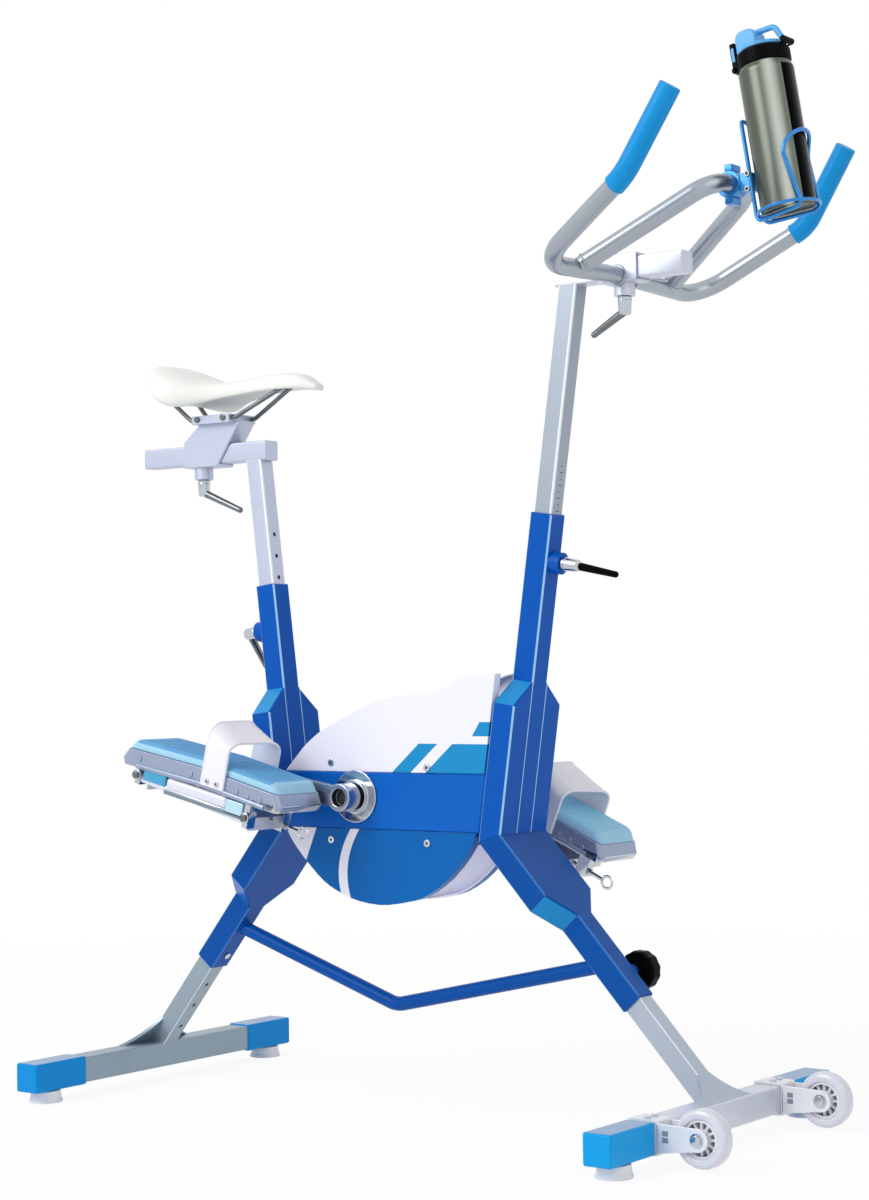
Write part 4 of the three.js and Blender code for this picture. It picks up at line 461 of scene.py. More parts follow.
def softened(bm, width, segments=3, degrees=30):
    if width > 0:
        sharp = [e for e in bm.edges if len(e.link_faces) == 2 and e.calc_face_angle(0) > math.radians(degrees)]
        bevelled(bm, sharp, width, segments)
    return bm


def block(low, high, width=1.0, segments=3):
    bm = bmesh.new()
    bmesh.ops.create_cube(bm, size=1)
    size = [h - l for l, h in zip(low, high)]
    middle = [(h + l) / 2 for l, h in zip(low, high)]
    bmesh.ops.scale(bm, vec=size, verts=bm.verts)
    bmesh.ops.translate(bm, vec=middle, verts=bm.verts)
    return softened(bm, width, segments)


def plate(points, y0, y1, width=0.8, segments=3, degrees=30):
    # an outline in X and Z, solid between two values of Y
    bm = bmesh.new()
    face = bm.faces.new([bm.verts.new((x, y0, z)) for x, z in points])
    made = bmesh.ops.extrude_face_region(bm, geom=[face])
    bmesh.ops.translate(bm, vec=(0, y1 - y0, 0), verts=vertsIn(made))
    bmesh.ops.recalc_face_normals(bm, faces=bm.faces)
    return softened(bm, width, segments, degrees)


def drum(start, end, radius, width=0.6, sides=40, endRadius=None):
    # a round bar between two points, its ends softened
    start, end = Vector(start), Vector(end)
    bm = bmesh.new()
    span = end - start
    bmesh.ops.create_cone(bm, cap_ends=True, segments=sides, radius1=radius, radius2=endRadius or radius,
                          depth=span.length)
    softened(bm, width, 3, 50)
    turn = span.to_track_quat("Z", "Y").to_matrix().to_4x4()
    bmesh.ops.transform(bm, matrix=Matrix.Translation((start + end) / 2) @ turn, verts=bm.verts)
    return bm


def pin(x, z, y0, y1, *shape):
    # a round bar along Y
    return drum((x, y0, z), (x, y1, z), *shape)


def ringAround(place, direction, radius, wire, sides=40):
    # a round bead or ring about a direction
    section = [(radius + wire * math.cos(a), wire * math.sin(a)) for a in (math.tau * k / 10 for k in range(10))]
    bm = spun(section, sides, closed=True)
    turn = Vector(direction).to_track_quat("Z", "Y").to_matrix().to_4x4()
    bmesh.ops.transform(bm, matrix=Matrix.Translation(place) @ turn, verts=bm.verts)
    return bm


def bentRoute(points, radii, steps=10):
    corners = [Vector(p) for p in points]
    stations = [corners[0]]
    for i in range(1, len(corners) - 1):
        radius = radii[i - 1] if isinstance(radii, (list, tuple)) else radii
        back = (corners[i - 1] - corners[i]).normalized()
        ahead = (corners[i + 1] - corners[i]).normalized()
        opening = back.angle(ahead)
        centre = corners[i] + (back + ahead).normalized() * (radius / math.sin(opening / 2))
        spoke = corners[i] + back * (radius / math.tan(opening / 2)) - centre
        axis = spoke.cross(back).normalized()
        for k in range(steps + 1):
            swing = Matrix.Rotation(-(math.pi - opening) * k / steps, 3, axis)
            stations.append(centre + swing @ spoke)
    stations.append(corners[-1])
    return stations


def carried(bm, edges):
    # the next ring of a skin: its vertices and its edges
    made = bmesh.ops.extrude_edge_only(bm, edges=edges)
    ring = vertsIn(made)
    return ring, [e for e in made["geom"] if isinstance(e, bmesh.types.BMEdge) and all(v in ring for v in e.verts)]


def swept(stations, radius, sides=32):
    # a round section carried along stations: one ring is extruded, turned and moved at each step
    stations = [Vector(s) for s in stations]
    directions = []
    for i, here in enumerate(stations):
        ahead = (stations[i + 1] - here).normalized() if i + 1 < len(stations) else Vector()
        behind = (here - stations[i - 1]).normalized() if i else Vector()
        directions.append((ahead + behind).normalized())
    bm = bmesh.new()
    ring = bmesh.ops.create_circle(bm, cap_ends=False, segments=sides, radius=radius)["verts"]
    turn = directions[0].to_track_quat("Z", "Y").to_matrix().to_4x4()
    bmesh.ops.transform(bm, matrix=Matrix.Translation(stations[0]) @ turn, verts=ring)
    edges = list(bm.edges)
    bm.faces.new(ring)
    for i in range(1, len(stations)):
        ring, edges = carried(bm, edges)
        swing = directions[i - 1].rotation_difference(directions[i]).to_matrix().to_4x4()
        step = Matrix.Translation(stations[i]) @ swing @ Matrix.Translation(-stations[i - 1])
        bmesh.ops.transform(bm, matrix=step, verts=ring)
    bmesh.ops.contextual_create(bm, geom=edges)
    bmesh.ops.recalc_face_normals(bm, faces=bm.faces)
    return bm


def assembled(*parts):
    # several shapes as one mesh; a part may be a pair of the shape and the number of its finish, or None where
    # its faces have numbers of their own
    whole = bmesh.new()
    for part in parts:
        shape, number = part if isinstance(part, tuple) else (part, 0)
        if number is not None:
            for face in shape.faces:
                face.material_index = number
        mesh = bpy.data.meshes.new("part")
        shape.to_mesh(mesh)
        shape.free()
        whole.from_mesh(mesh)
        bpy.data.meshes.remove(mesh)
    return whole


def moved(bm, matrix):
    bmesh.ops.transform(bm, matrix=matrix, verts=bm.verts)
    return bm


def makePiece(name, bm, finishNames, body, replaces=(), smooth=35, even=True):
    if isinstance(finishNames, str):
        finishNames = [finishNames]
    moved(bm, toMetres)
    mesh = bpy.data.meshes.new(name)
    bm.to_mesh(mesh)
    bm.free()
    for face in mesh.polygons:
        face.use_smooth = True
    mesh.set_sharp_from_angle(angle=math.radians(smooth))
    for each in finishNames:
        mesh.materials.append(finishes[each])
    piece = bpy.data.objects.new(name, mesh)
    bpy.context.scene.collection.objects.link(piece)
    if even:  # keeps broad flat faces flat beside their soft edges
        piece.modifiers.new("evenNormals", "WEIGHTED_NORMAL").keep_sharp = True
    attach(piece, body)
    if replaces:
        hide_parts(*([replaces] if isinstance(replaces, str) else replaces))
    return piece


def bodyOf(node):
    return cadNodes[node]["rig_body"]


def coated(node, finishName):
    # a CAD solid that stays as it is, under a finish of its own
    mesh = cadNodes[node].data
    mesh.materials.clear()
    mesh.materials.append(finishes[finishName])


def facets(piece, place, taper=1, edge=2):
    # on a square tube the tapered panels and the rounded corners take finishes of their own: a lighter one on the
    # panels as a painted reflection, a paler one on the corners as a painted highlight
    turn = place.to_3x3().inverted()
    for face in piece.data.polygons:
        x, y, z = (abs(c) for c in turn @ face.normal)
        if z < 0.2 and x > 0.3 and y > 0.3:
            face.material_index = edge
        elif z > 0.25 and y > 0.3 and x < 0.1 and face.area > 0.0005:
            face.material_index = taper


def dressed(node, finishName, width=0.6, segments=2, degrees=30, extra=()):
    # a merged copy of a CAD solid with its edges softened, and small parts added to it
    bm = bmesh.new()
    bm.from_mesh(cadNodes[node].data)
    bmesh.ops.remove_doubles(bm, verts=bm.verts, dist=0.000002)
    bmesh.ops.dissolve_limit(bm, angle_limit=math.radians(1), verts=bm.verts, edges=bm.edges)
    moved(bm, toMetres.inverted())
    softened(bm, width, segments, degrees)
    return makePiece(node + "Finish", assembled(bm, *extra), finishName, bodyOf(node), node)


# the frame: square sleeves, box beams and the bent brace
frameLook = {"edge": 0.7, "half": 18, "seamY": 17.5, "seamHalf": 0.9, "seamOut": 0.15, "braceRadius": 10.5,
             "braceBend": (-30, 0, 147), "bendRadius": 45, "rearAlong": 198, "frontAlong": 232, "bead": 0.6,
             "weld": 2.6}
frontLegFrame, rearLegFrame = leaning(178.3, 398, 137.16), leaning(-216, 403.1, -141.06)
frontColumnFrame, rearColumnFrame = leaning(178.3, 398, 8.47), leaning(-216, 403.1, -6.85)
columnPaints = ["framePaint", "taperPaintedReflection", "edgePaint"]
# the tapered panels take a lighter blue as a painted reflection (on the rear leg, the beam's blue), and the corners a
# painted highlight
for node, place, paints in (("front_column_sleeve", frontColumnFrame, columnPaints),
                            ("rear_column_sleeve", rearColumnFrame, columnPaints),
                            ("front_leg_sleeve", frontLegFrame, ["legPaint", "taperPaintedReflection", "legEdgePaintedHighlight"]),
                            ("rear_leg_sleeve", rearLegFrame, ["legPaint", "beamPaint", "legEdgePaintedHighlight"])):
    facets(dressed(node, paints, frameLook["edge"]), place)
# raised seam strips on each cheek, in the pale blue of the painted corner highlight
for place, low, high, name in ((frontColumnFrame, 4, 221, "front"), (rearColumnFrame, 4, 206, "rear")):
    face, wide = frameLook["half"], frameLook["seamHalf"]
    seams = [moved(block((face, y - wide, low), (face + frameLook["seamOut"], y + wide, high), 0), place)
             for y in (-frameLook["seamY"], frameLook["seamY"])]
    makePiece(name + "CheekSeams", assembled(*seams), "edgePaint", "frame", (), even=False)
for node in ("right_beam", "left_beam"):
    dressed(node, "beamPaint", frameLook["edge"])
braceEnds = [rearLegFrame @ Vector((0, 0, frameLook["rearAlong"])),
             frontLegFrame @ Vector((0, 0, frameLook["frontAlong"]))]
braceRoute = bentRoute([braceEnds[0], frameLook["braceBend"], braceEnds[1]], frameLook["bendRadius"], 14)
braceFeet, braceBeads = [], []
for legFrame, end in zip((rearLegFrame, frontLegFrame), braceEnds):
    toBend = (Vector(frameLook["braceBend"]) - end).normalized()
    out = legFrame.to_3x3() @ Vector((1, 0, 0))
    braceFeet.append(end + toBend * (frameLook["half"] / abs(toBend.dot(out.normalized()))))
    braceBeads.append(ringAround(braceFeet[-1], out, frameLook["braceRadius"] + frameLook["bead"], frameLook["weld"]))
braceRoute[0], braceRoute[-1] = braceFeet
makePiece("braceBar", assembled(swept(braceRoute, frameLook["braceRadius"], 40), *braceBeads), "legPaint", "frame",
          "lower_brace")
print("frame: sleeves, beams and brace")


# the hub and the crank
hubLook = {"flange": 38, "flangeFace": 58.3, "flangeTop": 61.3, "nose": 24, "noseEnd": 67, "tube": 21, "bore": 15,
           "seat": 17.3, "seatStart": 52, "middle": 40}
hubHalf = [(hubLook[radius], hubLook[height]) for radius, height in (
    ("bore", "middle"), ("bore", "seatStart"), ("seat", "seatStart"), ("seat", "noseEnd"), ("nose", "noseEnd"),
    ("nose", "flangeTop"), ("flange", "flangeTop"), ("flange", "flangeFace"), ("tube", "flangeFace"),
    ("tube", "middle"))]
hubEdge = rounded(hubHalf, 1.4, 4)
hubSection = hubEdge + [(r, -h) for r, h in reversed(hubEdge)]
hubPlace = Matrix.Translation((hubX, 0, hubZ))
makePiece("hubShell", moved(spun(hubSection, 72, closed=True), hubPlace @ alongY), "chrome", "frame",
          "bottom_bracket")
for node in ("right_bearing", "left_bearing", "crank_axle"):
    coated(node, "darkChrome")

crankLook = {"boss": 20, "bossInner": 72, "bossOuter": 100, "socket": 12.5, "socketDepth": 11.7, "armInner": 85,
             "armOuter": 98, "eye": 13, "length": 175, "edge": 2.2, "spindle": 7, "spindleEnd": 201, "collar": 8.5,
             "collarEnd": 100.3, "core": 10.4, "bolt": 9.2, "washer": 12.3, "seat": 6, "rootY": 87, "cap": 7.5,
             "capY": (84.2, 86), "linerTop": 2.4, "turn": {"right": 189.3, "left": 9.3}}


def bladeOutline(startRadius, endRadius, length, spread=72, steps=20):
    # the blade grows out of the boss's ring and leaves its socket free
    hollow = [math.radians(spread - 2 * spread * k / steps) for k in range(steps + 1)]
    tip = [-math.pi / 2 + math.pi * k / steps for k in range(steps + 1)]
    return ([(startRadius * math.cos(a), startRadius * math.sin(a)) for a in hollow]
            + [(length + endRadius * math.cos(a), endRadius * math.sin(a)) for a in tip])


def crankShape(hand):
    look, side = crankLook, sides[hand]
    floor, outward = look["bossOuter"] - look["socketDepth"], Matrix.Scale(side, 4, (0, 1, 0)) @ alongY
    core, boss, socket, rim = look["core"], look["boss"], look["socket"], look["bossOuter"]
    bossEdge = rounded([(core, look["bossInner"]), (boss, look["bossInner"]), (boss, rim), (socket, rim),
                        (socket, floor), (core, floor)], 2, 5)
    ring = moved(spun(bossEdge, 64, closed=True), outward)
    if side < 0:
        bmesh.ops.reverse_faces(ring, faces=ring.faces)
    # the bolt, washer and liner inside the socket take the dark finish, painted as the socket's shade
    bolt = pin(0, 0, side * (floor - look["seat"]), side * (floor + 1.5), look["bolt"], 1.2, 6)
    washer = pin(0, 0, side * (floor - look["seat"]), side * (floor + 0.2), look["washer"], 0.4, 48)
    ys = sorted((side * look["armInner"], side * look["armOuter"]))
    arm = plate(bladeOutline((boss + socket) / 2, look["eye"], look["length"]), *ys, look["edge"], 4, 50)
    spindle = pin(look["length"], 0, side * look["rootY"], side * look["spindleEnd"], look["spindle"], 1.2)
    collar = pin(look["length"], 0, side * look["rootY"], side * look["collarEnd"], look["collar"], 0.8)
    cap = pin(look["length"], 0, *(side * y for y in look["capY"]), look["cap"], 0.6)
    liner = moved(spun([(core, floor + 0.1), (socket - 0.15, floor + 0.1), (socket - 0.15, rim - look["linerTop"]),
                        (socket - 0.05, rim - look["linerTop"])], 64), outward)
    return assembled(ring, arm, spindle, collar, cap, (bolt, 1), (washer, 1), (liner, 1))


for hand in sides:
    place = leaning(hubX, hubZ, crankLook["turn"][hand])
    makePiece(hand + "Crank", moved(crankShape(hand), place), ["steelArm", "darkHole"], "crankset", hand + "_crank_arm")
print("crank: hub and two arms")


# the moulded shells beside the beams, and their screws
shellLook = {"edge": 1.1, "screwFace": 56, "screwRadius": 5.4,
             "screws": {"upper": ((-103, 500), (71, 495)), "lower": ((-104, 388), (70, 388))}}
for hand in sides:
    dressed(hand + "_upper_fairing", "shellWhite", shellLook["edge"], 3, 50)
    lower = dressed(hand + "_lower_fairing", ["shellBlue", "shellInsidePaintedGlow"], shellLook["edge"], 3, 50)
    # the inside takes a plain white that glows a little, as painted light
    for face in lower.data.polygons:  # the colour is on the outside alone
        if face.normal.y * sides[hand] < -0.5:
            face.material_index = 1
    heads = []
    for x, z in shellLook["screws"]["upper"] + shellLook["screws"]["lower"]:
        y = sides[hand] * shellLook["screwFace"]
        out = y + sides[hand] * 1.8
        heads.append(pin(x, z, y, out, shellLook["screwRadius"], 0.8, 32))
        # a dark hexagon painted as the shade in the screw's socket
        heads.append((pin(x, z, out - sides[hand], out + sides[hand] * 0.05, 2.4, 0.2, 6), 1))
    makePiece(hand + "ShellScrews", assembled(*heads), ["chrome", "darkHole"], "frame", ())
print("shells and screws")


# pedals: a polished tray, a ribbed pad, a moulded strap, a fin and its ring pin
pedalLook = {"tilt": {"right": 13, "left": 22}, "centreY": 155, "halfWidth": 50, "top": 31.8, "padThick": 14,
             "padHalf": 135, "padFoot": 146, "padHalfWidth": 47, "waistHalf": 156, "waist": 2, "footHalf": 151,
             "low": -8, "corner": 9, "droop": math.tan(math.radians(2)), "wall": 3, "ribPitch": 9, "ribWidth": 4.2,
             "ribHeight": 0.4, "ribInset": 10, "roll": 6.5, "underRise": 22, "rail": 4.4,
             "railX": (-122, -60, 0, 60, 128),
             "bolts": ((-118, 6), (118, 2), (-16, 4), (74, 3), (95, 2)), "hinges": ((-117, -22), (98, -32)),
             "cutNormal": (-0.0523, 0, 0.9986), "cutZ": -9.5,
             # the left pad's top is painted lighter than the right's, as painted light
             "padFinish": {"right": "padTopPaintedShade", "left": "padTopLeftPaintedLight"}}
strapLook = {"thick": 4, "rear": 7, "footDrop": 37, "corner": 27, "bead": 2.0,
             "right": {"front": 51, "twist": 8, "rearHeight": 56, "frontHeight": 33},
             "left": {"front": 64, "twist": 16, "rearHeight": 50, "frontHeight": 31}}


def pedalFrame(hand):
    tip = leaning(hubX, hubZ, crankLook["turn"][hand]) @ Vector((crankLook["length"], 0, 0))
    return leaning(tip.x, tip.z, pedalLook["tilt"][hand], sides[hand] * pedalLook["centreY"])


def drooped(x, z):
    return x, z - abs(x) * pedalLook["droop"]


def slab(levels, halfWidth, corner, edge):
    front = [drooped(x, z) for x, z in levels]
    rear = [drooped(-x, z) for x, z in reversed(levels)]
    bm = plate(front + [(0, levels[-1][1])] + rear + [(0, levels[0][1])], -halfWidth, halfWidth, 0)
    reach = min(x for x, _ in levels) - 2
    ends = [e for e in bm.edges if all(abs(abs(v.co.y) - halfWidth) < 0.01 and abs(v.co.x) > reach for v in e.verts)
            and abs(e.verts[0].co.z - e.verts[1].co.z) > 1 and e.verts[0].co.y * e.verts[1].co.y > 0]
    bevelled(bm, ends, corner, 4)
    return softened(bm, edge, 3, 24)


def trayShape():
    look = pedalLook
    trayTop = look["top"] - look["padThick"] - 0.3
    tray = slab([(look["footHalf"], look["low"]), (look["waistHalf"], look["waist"]), (look["padFoot"], trayTop)],
                look["halfWidth"], look["corner"], 1.2)
    tube = pin(0, 0, -49.7, 49.7, 11, 1, 48)
    under = [f for f in tray.faces if f.normal.z < -0.98 and f.calc_area() > 500]
    bmesh.ops.inset_region(tray, faces=under, thickness=look["wall"] - 1, use_even_offset=True)
    made = bmesh.ops.extrude_face_region(tray, geom=under)
    raised = vertsIn(made)
    bmesh.ops.delete(tray, geom=under, context="FACES_ONLY")
    bmesh.ops.translate(tray, vec=(0, 0, look["underRise"]), verts=raised)
    bolts = []
    for x, z in look["bolts"]:
        for y in (-look["halfWidth"], look["halfWidth"]):
            way = math.copysign(1, y)
            bolts.append(pin(x, drooped(x, z)[1], y - way, y + way * 1.6, 4.2, 0.7, 24))
    for y in (-1, 1):
        rail = [Vector((x, y * (look["halfWidth"] - 1.5), drooped(x, -5.5)[1])) for x in look["railX"]]
        bolts.append(swept(rail, look["rail"], 24))
    return assembled(tray, tube, *bolts)


def padShape():
    look = pedalLook
    pad = slab([(look["padFoot"], look["top"] - look["padThick"]), (look["padHalf"], look["top"])],
               look["padHalfWidth"], look["corner"], 0)
    pad.normal_update()
    rim = [e for e in pad.edges if len(e.link_faces) == 2 and max(f.normal.z for f in e.link_faces) > 0.95
           and min(f.normal.z for f in e.link_faces) < 0.9]
    bevelled(pad, rim, look["roll"], 5, clamp=False)
    pad.normal_update()
    softened(pad, 1, 2, 40)
    for face in pad.faces:
        # faces that look up take the top's painted shade, the rest the paler side colour
        face.material_index = 0 if face.normal.z > 0.3 and abs(face.normal.x) < 0.3 else 1
    ribs = []
    count = int((look["padHalf"] - 12) / look["ribPitch"])
    wide, long = look["ribWidth"] / 2, look["padHalfWidth"] - look["ribInset"]
    for k in range(-count, count + 1):
        x = k * look["ribPitch"]
        top = drooped(x, look["top"])[1]
        ribs.append(block((x - wide, -long, top - 0.5), (x + wide, long, top + look["ribHeight"]), 0.35, 2))
    return assembled((pad, None), *ribs)


def strapPlace(hand, point):
    # the arch slopes down and twists towards the toes
    look, fit = strapLook, strapLook[hand]
    outer = pedalLook["halfWidth"] + 0.3 + look["thick"]
    forward = (point.x - look["rear"]) / (fit["front"] - look["rear"])
    across = (point.y + outer) / (2 * outer)
    fall = (fit["frontHeight"] - fit["rearHeight"]) / fit["rearHeight"]
    rise = max(point.z - pedalLook["top"], 0) * fall * forward
    return Vector((point.x + fit["twist"] * forward * across, point.y, point.z + rise))


def archPath(hand, reach, steps=12):
    look = strapLook
    outer = pedalLook["halfWidth"] + 0.3 + look["thick"]
    foot = pedalLook["top"] - look["footDrop"]
    crown = look[hand]["rearHeight"] + pedalLook["top"]
    bend, turnY, turnZ = look["corner"] - reach, outer - look["corner"], crown - look["corner"]
    path = [(outer - reach, foot), (outer - reach, (foot + turnZ) / 2)]
    for way in (1, -1):
        turns = [math.pi / 2 * k / steps for k in range(steps + 1)]
        arc = [(way * (turnY + bend * math.cos(a)), turnZ + bend * math.sin(a)) for a in turns]
        path += arc if way > 0 else arc[::-1]
    return path + [(-outer + reach, (foot + turnZ) / 2), (-outer + reach, foot)]


def strapShape(hand):
    look, fit = strapLook, strapLook[hand]
    bm = bmesh.new()
    rings = archPath(hand, 0.6) + archPath(hand, look["thick"])[::-1]
    face = bm.faces.new([bm.verts.new((look["rear"], y, z)) for y, z in rings])
    region = [face]
    for k in range(6):
        made = bmesh.ops.extrude_face_region(bm, geom=region)
        bmesh.ops.delete(bm, geom=region if k else [], context="FACES_ONLY")
        region = facesIn(made)
        bmesh.ops.translate(bm, vec=((fit["front"] - look["rear"]) / 6, 0, 0), verts=vertsIn(made))
    bmesh.ops.recalc_face_normals(bm, faces=bm.faces)
    softened(bm, 0.7, 2, 60)
    for vert in bm.verts:
        vert.co = strapPlace(hand, vert.co)
    beads = []
    for x in (look["rear"] + 1.6, fit["front"] - 1.6):
        path = [strapPlace(hand, Vector((x, y, z))) for y, z in archPath(hand, 1.8)]
        beads.append(swept(path, look["bead"], 16))
    bolts = []
    for y in (-1, 1):
        face = y * (pedalLook["halfWidth"] + 4)
        for x in (look["rear"] + 13, (fit["front"] + look["rear"]) / 2 + 9):
            bolts.append((pin(x, 2, face - y * 0.5, face + y * 1.6, 4, 0.7, 24), 1))
            # a dark hexagon painted as the shade in the bolt's socket
            bolts.append((pin(x, 2, face, face + y * 1.7, 1.8, 0.1, 6), 2))
    return assembled(bm, *beads, *bolts)


finLook = {"outer": 50.5, "rolls": (((-62, 58), (-31, -11.5), 22, 7, 0), ((-106, -62), (-27, -12), 9, 1, 2),
                                   ((58, 90), (-35, -14), 9, 1.5, 3), ((-62, 90), (-37, -31.3), 5, 0.8, 1))}


def finLip(hand):
    # the rolled lip along the fin's outer edge, the plates at its ends and a darker strip along its foot, painted as
    # shade
    parts = []
    for xs, zs, depth, edge, number in finLook["rolls"]:
        ys = sorted((sides[hand] * (finLook["outer"] - depth), sides[hand] * finLook["outer"]))
        lip = block((xs[0], ys[0], zs[0]), (xs[1], ys[1], zs[1]), edge, 5)
        parts.append((moved(lip, pedalFrame(hand)), number))
    return parts


for hand in sides:
    place, body = pedalFrame(hand), hand + "_pedal"
    tray = moved(trayShape(), place)
    # the lugs under the tray are the CAD's own, cut off below its floor
    lugs = bmesh.new()
    lugs.from_mesh(cadNodes[hand + "_pedal_platform"].data)
    bmesh.ops.remove_doubles(lugs, verts=lugs.verts, dist=0.000002)
    moved(lugs, place.inverted() @ toMetres.inverted())
    cutPlane = bmesh.ops.bisect_plane(lugs, geom=lugs.verts[:] + lugs.edges[:] + lugs.faces[:],
                                      plane_co=(0, 0, pedalLook["cutZ"]), plane_no=pedalLook["cutNormal"],
                                      clear_outer=True)
    rim = [e for e in cutPlane["geom_cut"] if isinstance(e, bmesh.types.BMEdge)]
    bmesh.ops.holes_fill(lugs, edges=rim)
    bmesh.ops.dissolve_limit(lugs, angle_limit=math.radians(1), verts=lugs.verts, edges=lugs.edges)
    softened(lugs, 0.8, 2, 40)
    moved(lugs, place)
    heads = []
    for x, z in pedalLook["hinges"]:
        for low, high, radius, number in ((51.5, 54, 8, 1), (54, 57.5, 5.4, 2)):
            head = pin(x, z, sides[hand] * low, sides[hand] * high, radius, 0.9, 24)
            heads.append((moved(head, place), number))
    makePiece(hand + "Tray", assembled(tray, (lugs, 1), *heads), ["traySteel", "chrome", "darkChrome"], body,
              hand + "_pedal_platform")
    makePiece(hand + "Pad", moved(padShape(), place), [pedalLook["padFinish"][hand], "padSide"], body,
              hand + "_pedal_pad", even=False)
    makePiece(hand + "Strap", moved(strapShape(hand), place), ["strapWhite", "chrome", "darkHole"], body,
              hand + "_foot_strap", smooth=50)
    dressed(hand + "_fin", ["finSteel", "finPaintedShade", "finCyan", "finPale"], 0.6, 2, 40, finLip(hand))
    dressed(hand + "_fin_lock_pin", "chrome", 0.3, 2, 60)
print("pedals: trays, pads, straps, fins and pins")


# clamp levers, built with the stud down the local Z axis and the arm along X
leverLook = {"hub": 10, "hubTop": 8.5, "hubLength": 26, "armRoot": 6, "armTip": 4.6, "stud": 5}


def leverShape(reach, rise, depth):
    look = leverLook
    start = look["hubLength"] - look["armRoot"]
    hub = drum((0, 0, 0.3), (0, 0, look["hubLength"]), look["hub"], 1.8, 40, look["hubTop"])
    neck = ringAround((0, 0, 6), (0, 0, 1), look["hub"] - 1.2, 1.4)
    stud = drum((0, 0, -depth), (0, 0, 5), look["stud"], 0.4, 24)
    arm = drum((0, 0, start), (reach, 0, start + rise), look["armRoot"], 0.5, 32, look["armTip"])
    tip = bmesh.new()
    bmesh.ops.create_uvsphere(tip, u_segments=28, v_segments=16, radius=look["armTip"] + 0.1)
    bmesh.ops.translate(tip, vec=(reach, 0, start + rise), verts=tip.verts)
    return assembled(hub, neck, stud, (arm, 1), (tip, 1))


def hanging(x, top, direction):
    turn = Matrix.Rotation(math.pi, 4, "X")
    if direction < 0:
        turn = Matrix.Rotation(math.pi, 4, "Z") @ turn
    return Matrix.Translation((x, 0, top)) @ turn


def onColumn(columnFrame, along, direction, angle):
    turn = Matrix.Rotation(direction * math.pi / 2, 4, "Y") @ Matrix.Rotation(math.radians(angle), 4, "Z")
    return columnFrame @ Matrix.Translation((direction * 34, 0, along)) @ turn


leverPlaces = {
    "saddle_clamp_lever": (hanging(-395, 932, 1), 73, 30, 18, "darkChrome"),
    "handlebar_clamp_lever": (hanging(377, 1141, -1), 50, 28, 20, "darkChrome"),
    "front_column_lever": (onColumn(frontColumnFrame, 390, 1, 82), 54, 34, 17, "black"),
    "rear_column_lever": (onColumn(rearColumnFrame, 297, -1, 144), 60, 4, 17, "darkChrome")}
for node, (place, reach, rise, depth, armFinish) in leverPlaces.items():
    makePiece(node + "Shape", moved(leverShape(reach, rise, depth), place), ["chrome", armFinish], bodyOf(node), node)
knobLook = {"x": -6, "along": 254, "face": 26.3, "disc": 40, "end": 60, "radius": 27.2, "wave": 0.5, "scallops": 12,
            "neck": 12, "stud": 5, "inside": 19.5}
knobEdge = []
for k in range(120):
    turn = math.tau * k / 120
    reach = knobLook["radius"] + knobLook["wave"] * math.cos(knobLook["scallops"] * turn)
    knobEdge.append((reach * math.cos(turn), reach * math.sin(turn)))
knobParts = [plate(knobEdge, knobLook["disc"], knobLook["end"], 3, 4, 50),
             pin(0, 0, knobLook["face"], knobLook["disc"] + 2, knobLook["neck"], 0.8, 40),
             pin(0, 0, knobLook["inside"], knobLook["disc"], knobLook["stud"], 0.4, 24)]
knobPlace = frontLegFrame @ Matrix.Translation((knobLook["x"], 0, knobLook["along"]))
makePiece("legKnob", moved(assembled(*knobParts), knobPlace), "black", bodyOf("front_leg_knob"), "front_leg_knob")
print("levers and knob")


# the posts, with the depth marks on the front one
markLook = {"count": 8, "pitch": 9, "long": 9, "short": 5, "first": 461, "face": (14.96, 15.06), "stemZ": 1.16}
marks = []
for k in range(markLook["count"]):
    along = markLook["first"] + k * markLook["pitch"]
    reach = markLook["long"] if k % 2 == 0 else markLook["short"]
    inner, outer = markLook["face"]
    marks.append(moved(block((inner, -reach / 2, along), (outer, reach / 2, along + 1), 0), frontColumnFrame))
# the posts' rounded corners take the pale steel, a painted highlight
facets(dressed("saddle_post", ["seatSteel", "seatSteel", "steelEdgePaintedHighlight"], 0.6), rearColumnFrame)
frontPost = dressed("handlebar_post", ["frontSteel", "frontSteel", "steelEdgePaintedHighlight", "stemSteel"], 0.6)
facets(frontPost, frontColumnFrame)
for face in frontPost.data.polygons:  # the stem across the top is brighter than the post
    if face.center.z > markLook["stemZ"]:
        face.material_index = 3
makePiece("postMarks", assembled(*marks), "darkHole", "handlebar_mast", (), even=False)
print("posts")


# saddle: a smooth skin lofted through the stations of its plan, with its rails and clamp
saddleLook = {"rear": -497, "nose": -164, "half": 82, "low": 1026, "crown": 1113, "arch": 24, "square": 0.72,
              "middle": 0.55, "steps": 36, "around": 40,
              "stations": [(0, 0.16, 0.86, 0.72), (0.05, 0.36, 0.96, 0.54), (0.12, 0.68, 1, 0.34),
                           (0.2, 0.94, 0.92, 0.14), (0.28, 1, 0.8, 0.03), (0.36, 0.84, 0.68, 0.03),
                           (0.46, 0.58, 0.61, 0.13),
                           (0.6, 0.38, 0.62, 0.22), (0.76, 0.29, 0.67, 0.28), (0.92, 0.25, 0.62, 0.31),
                           (1, 0.14, 0.44, 0.32)]}


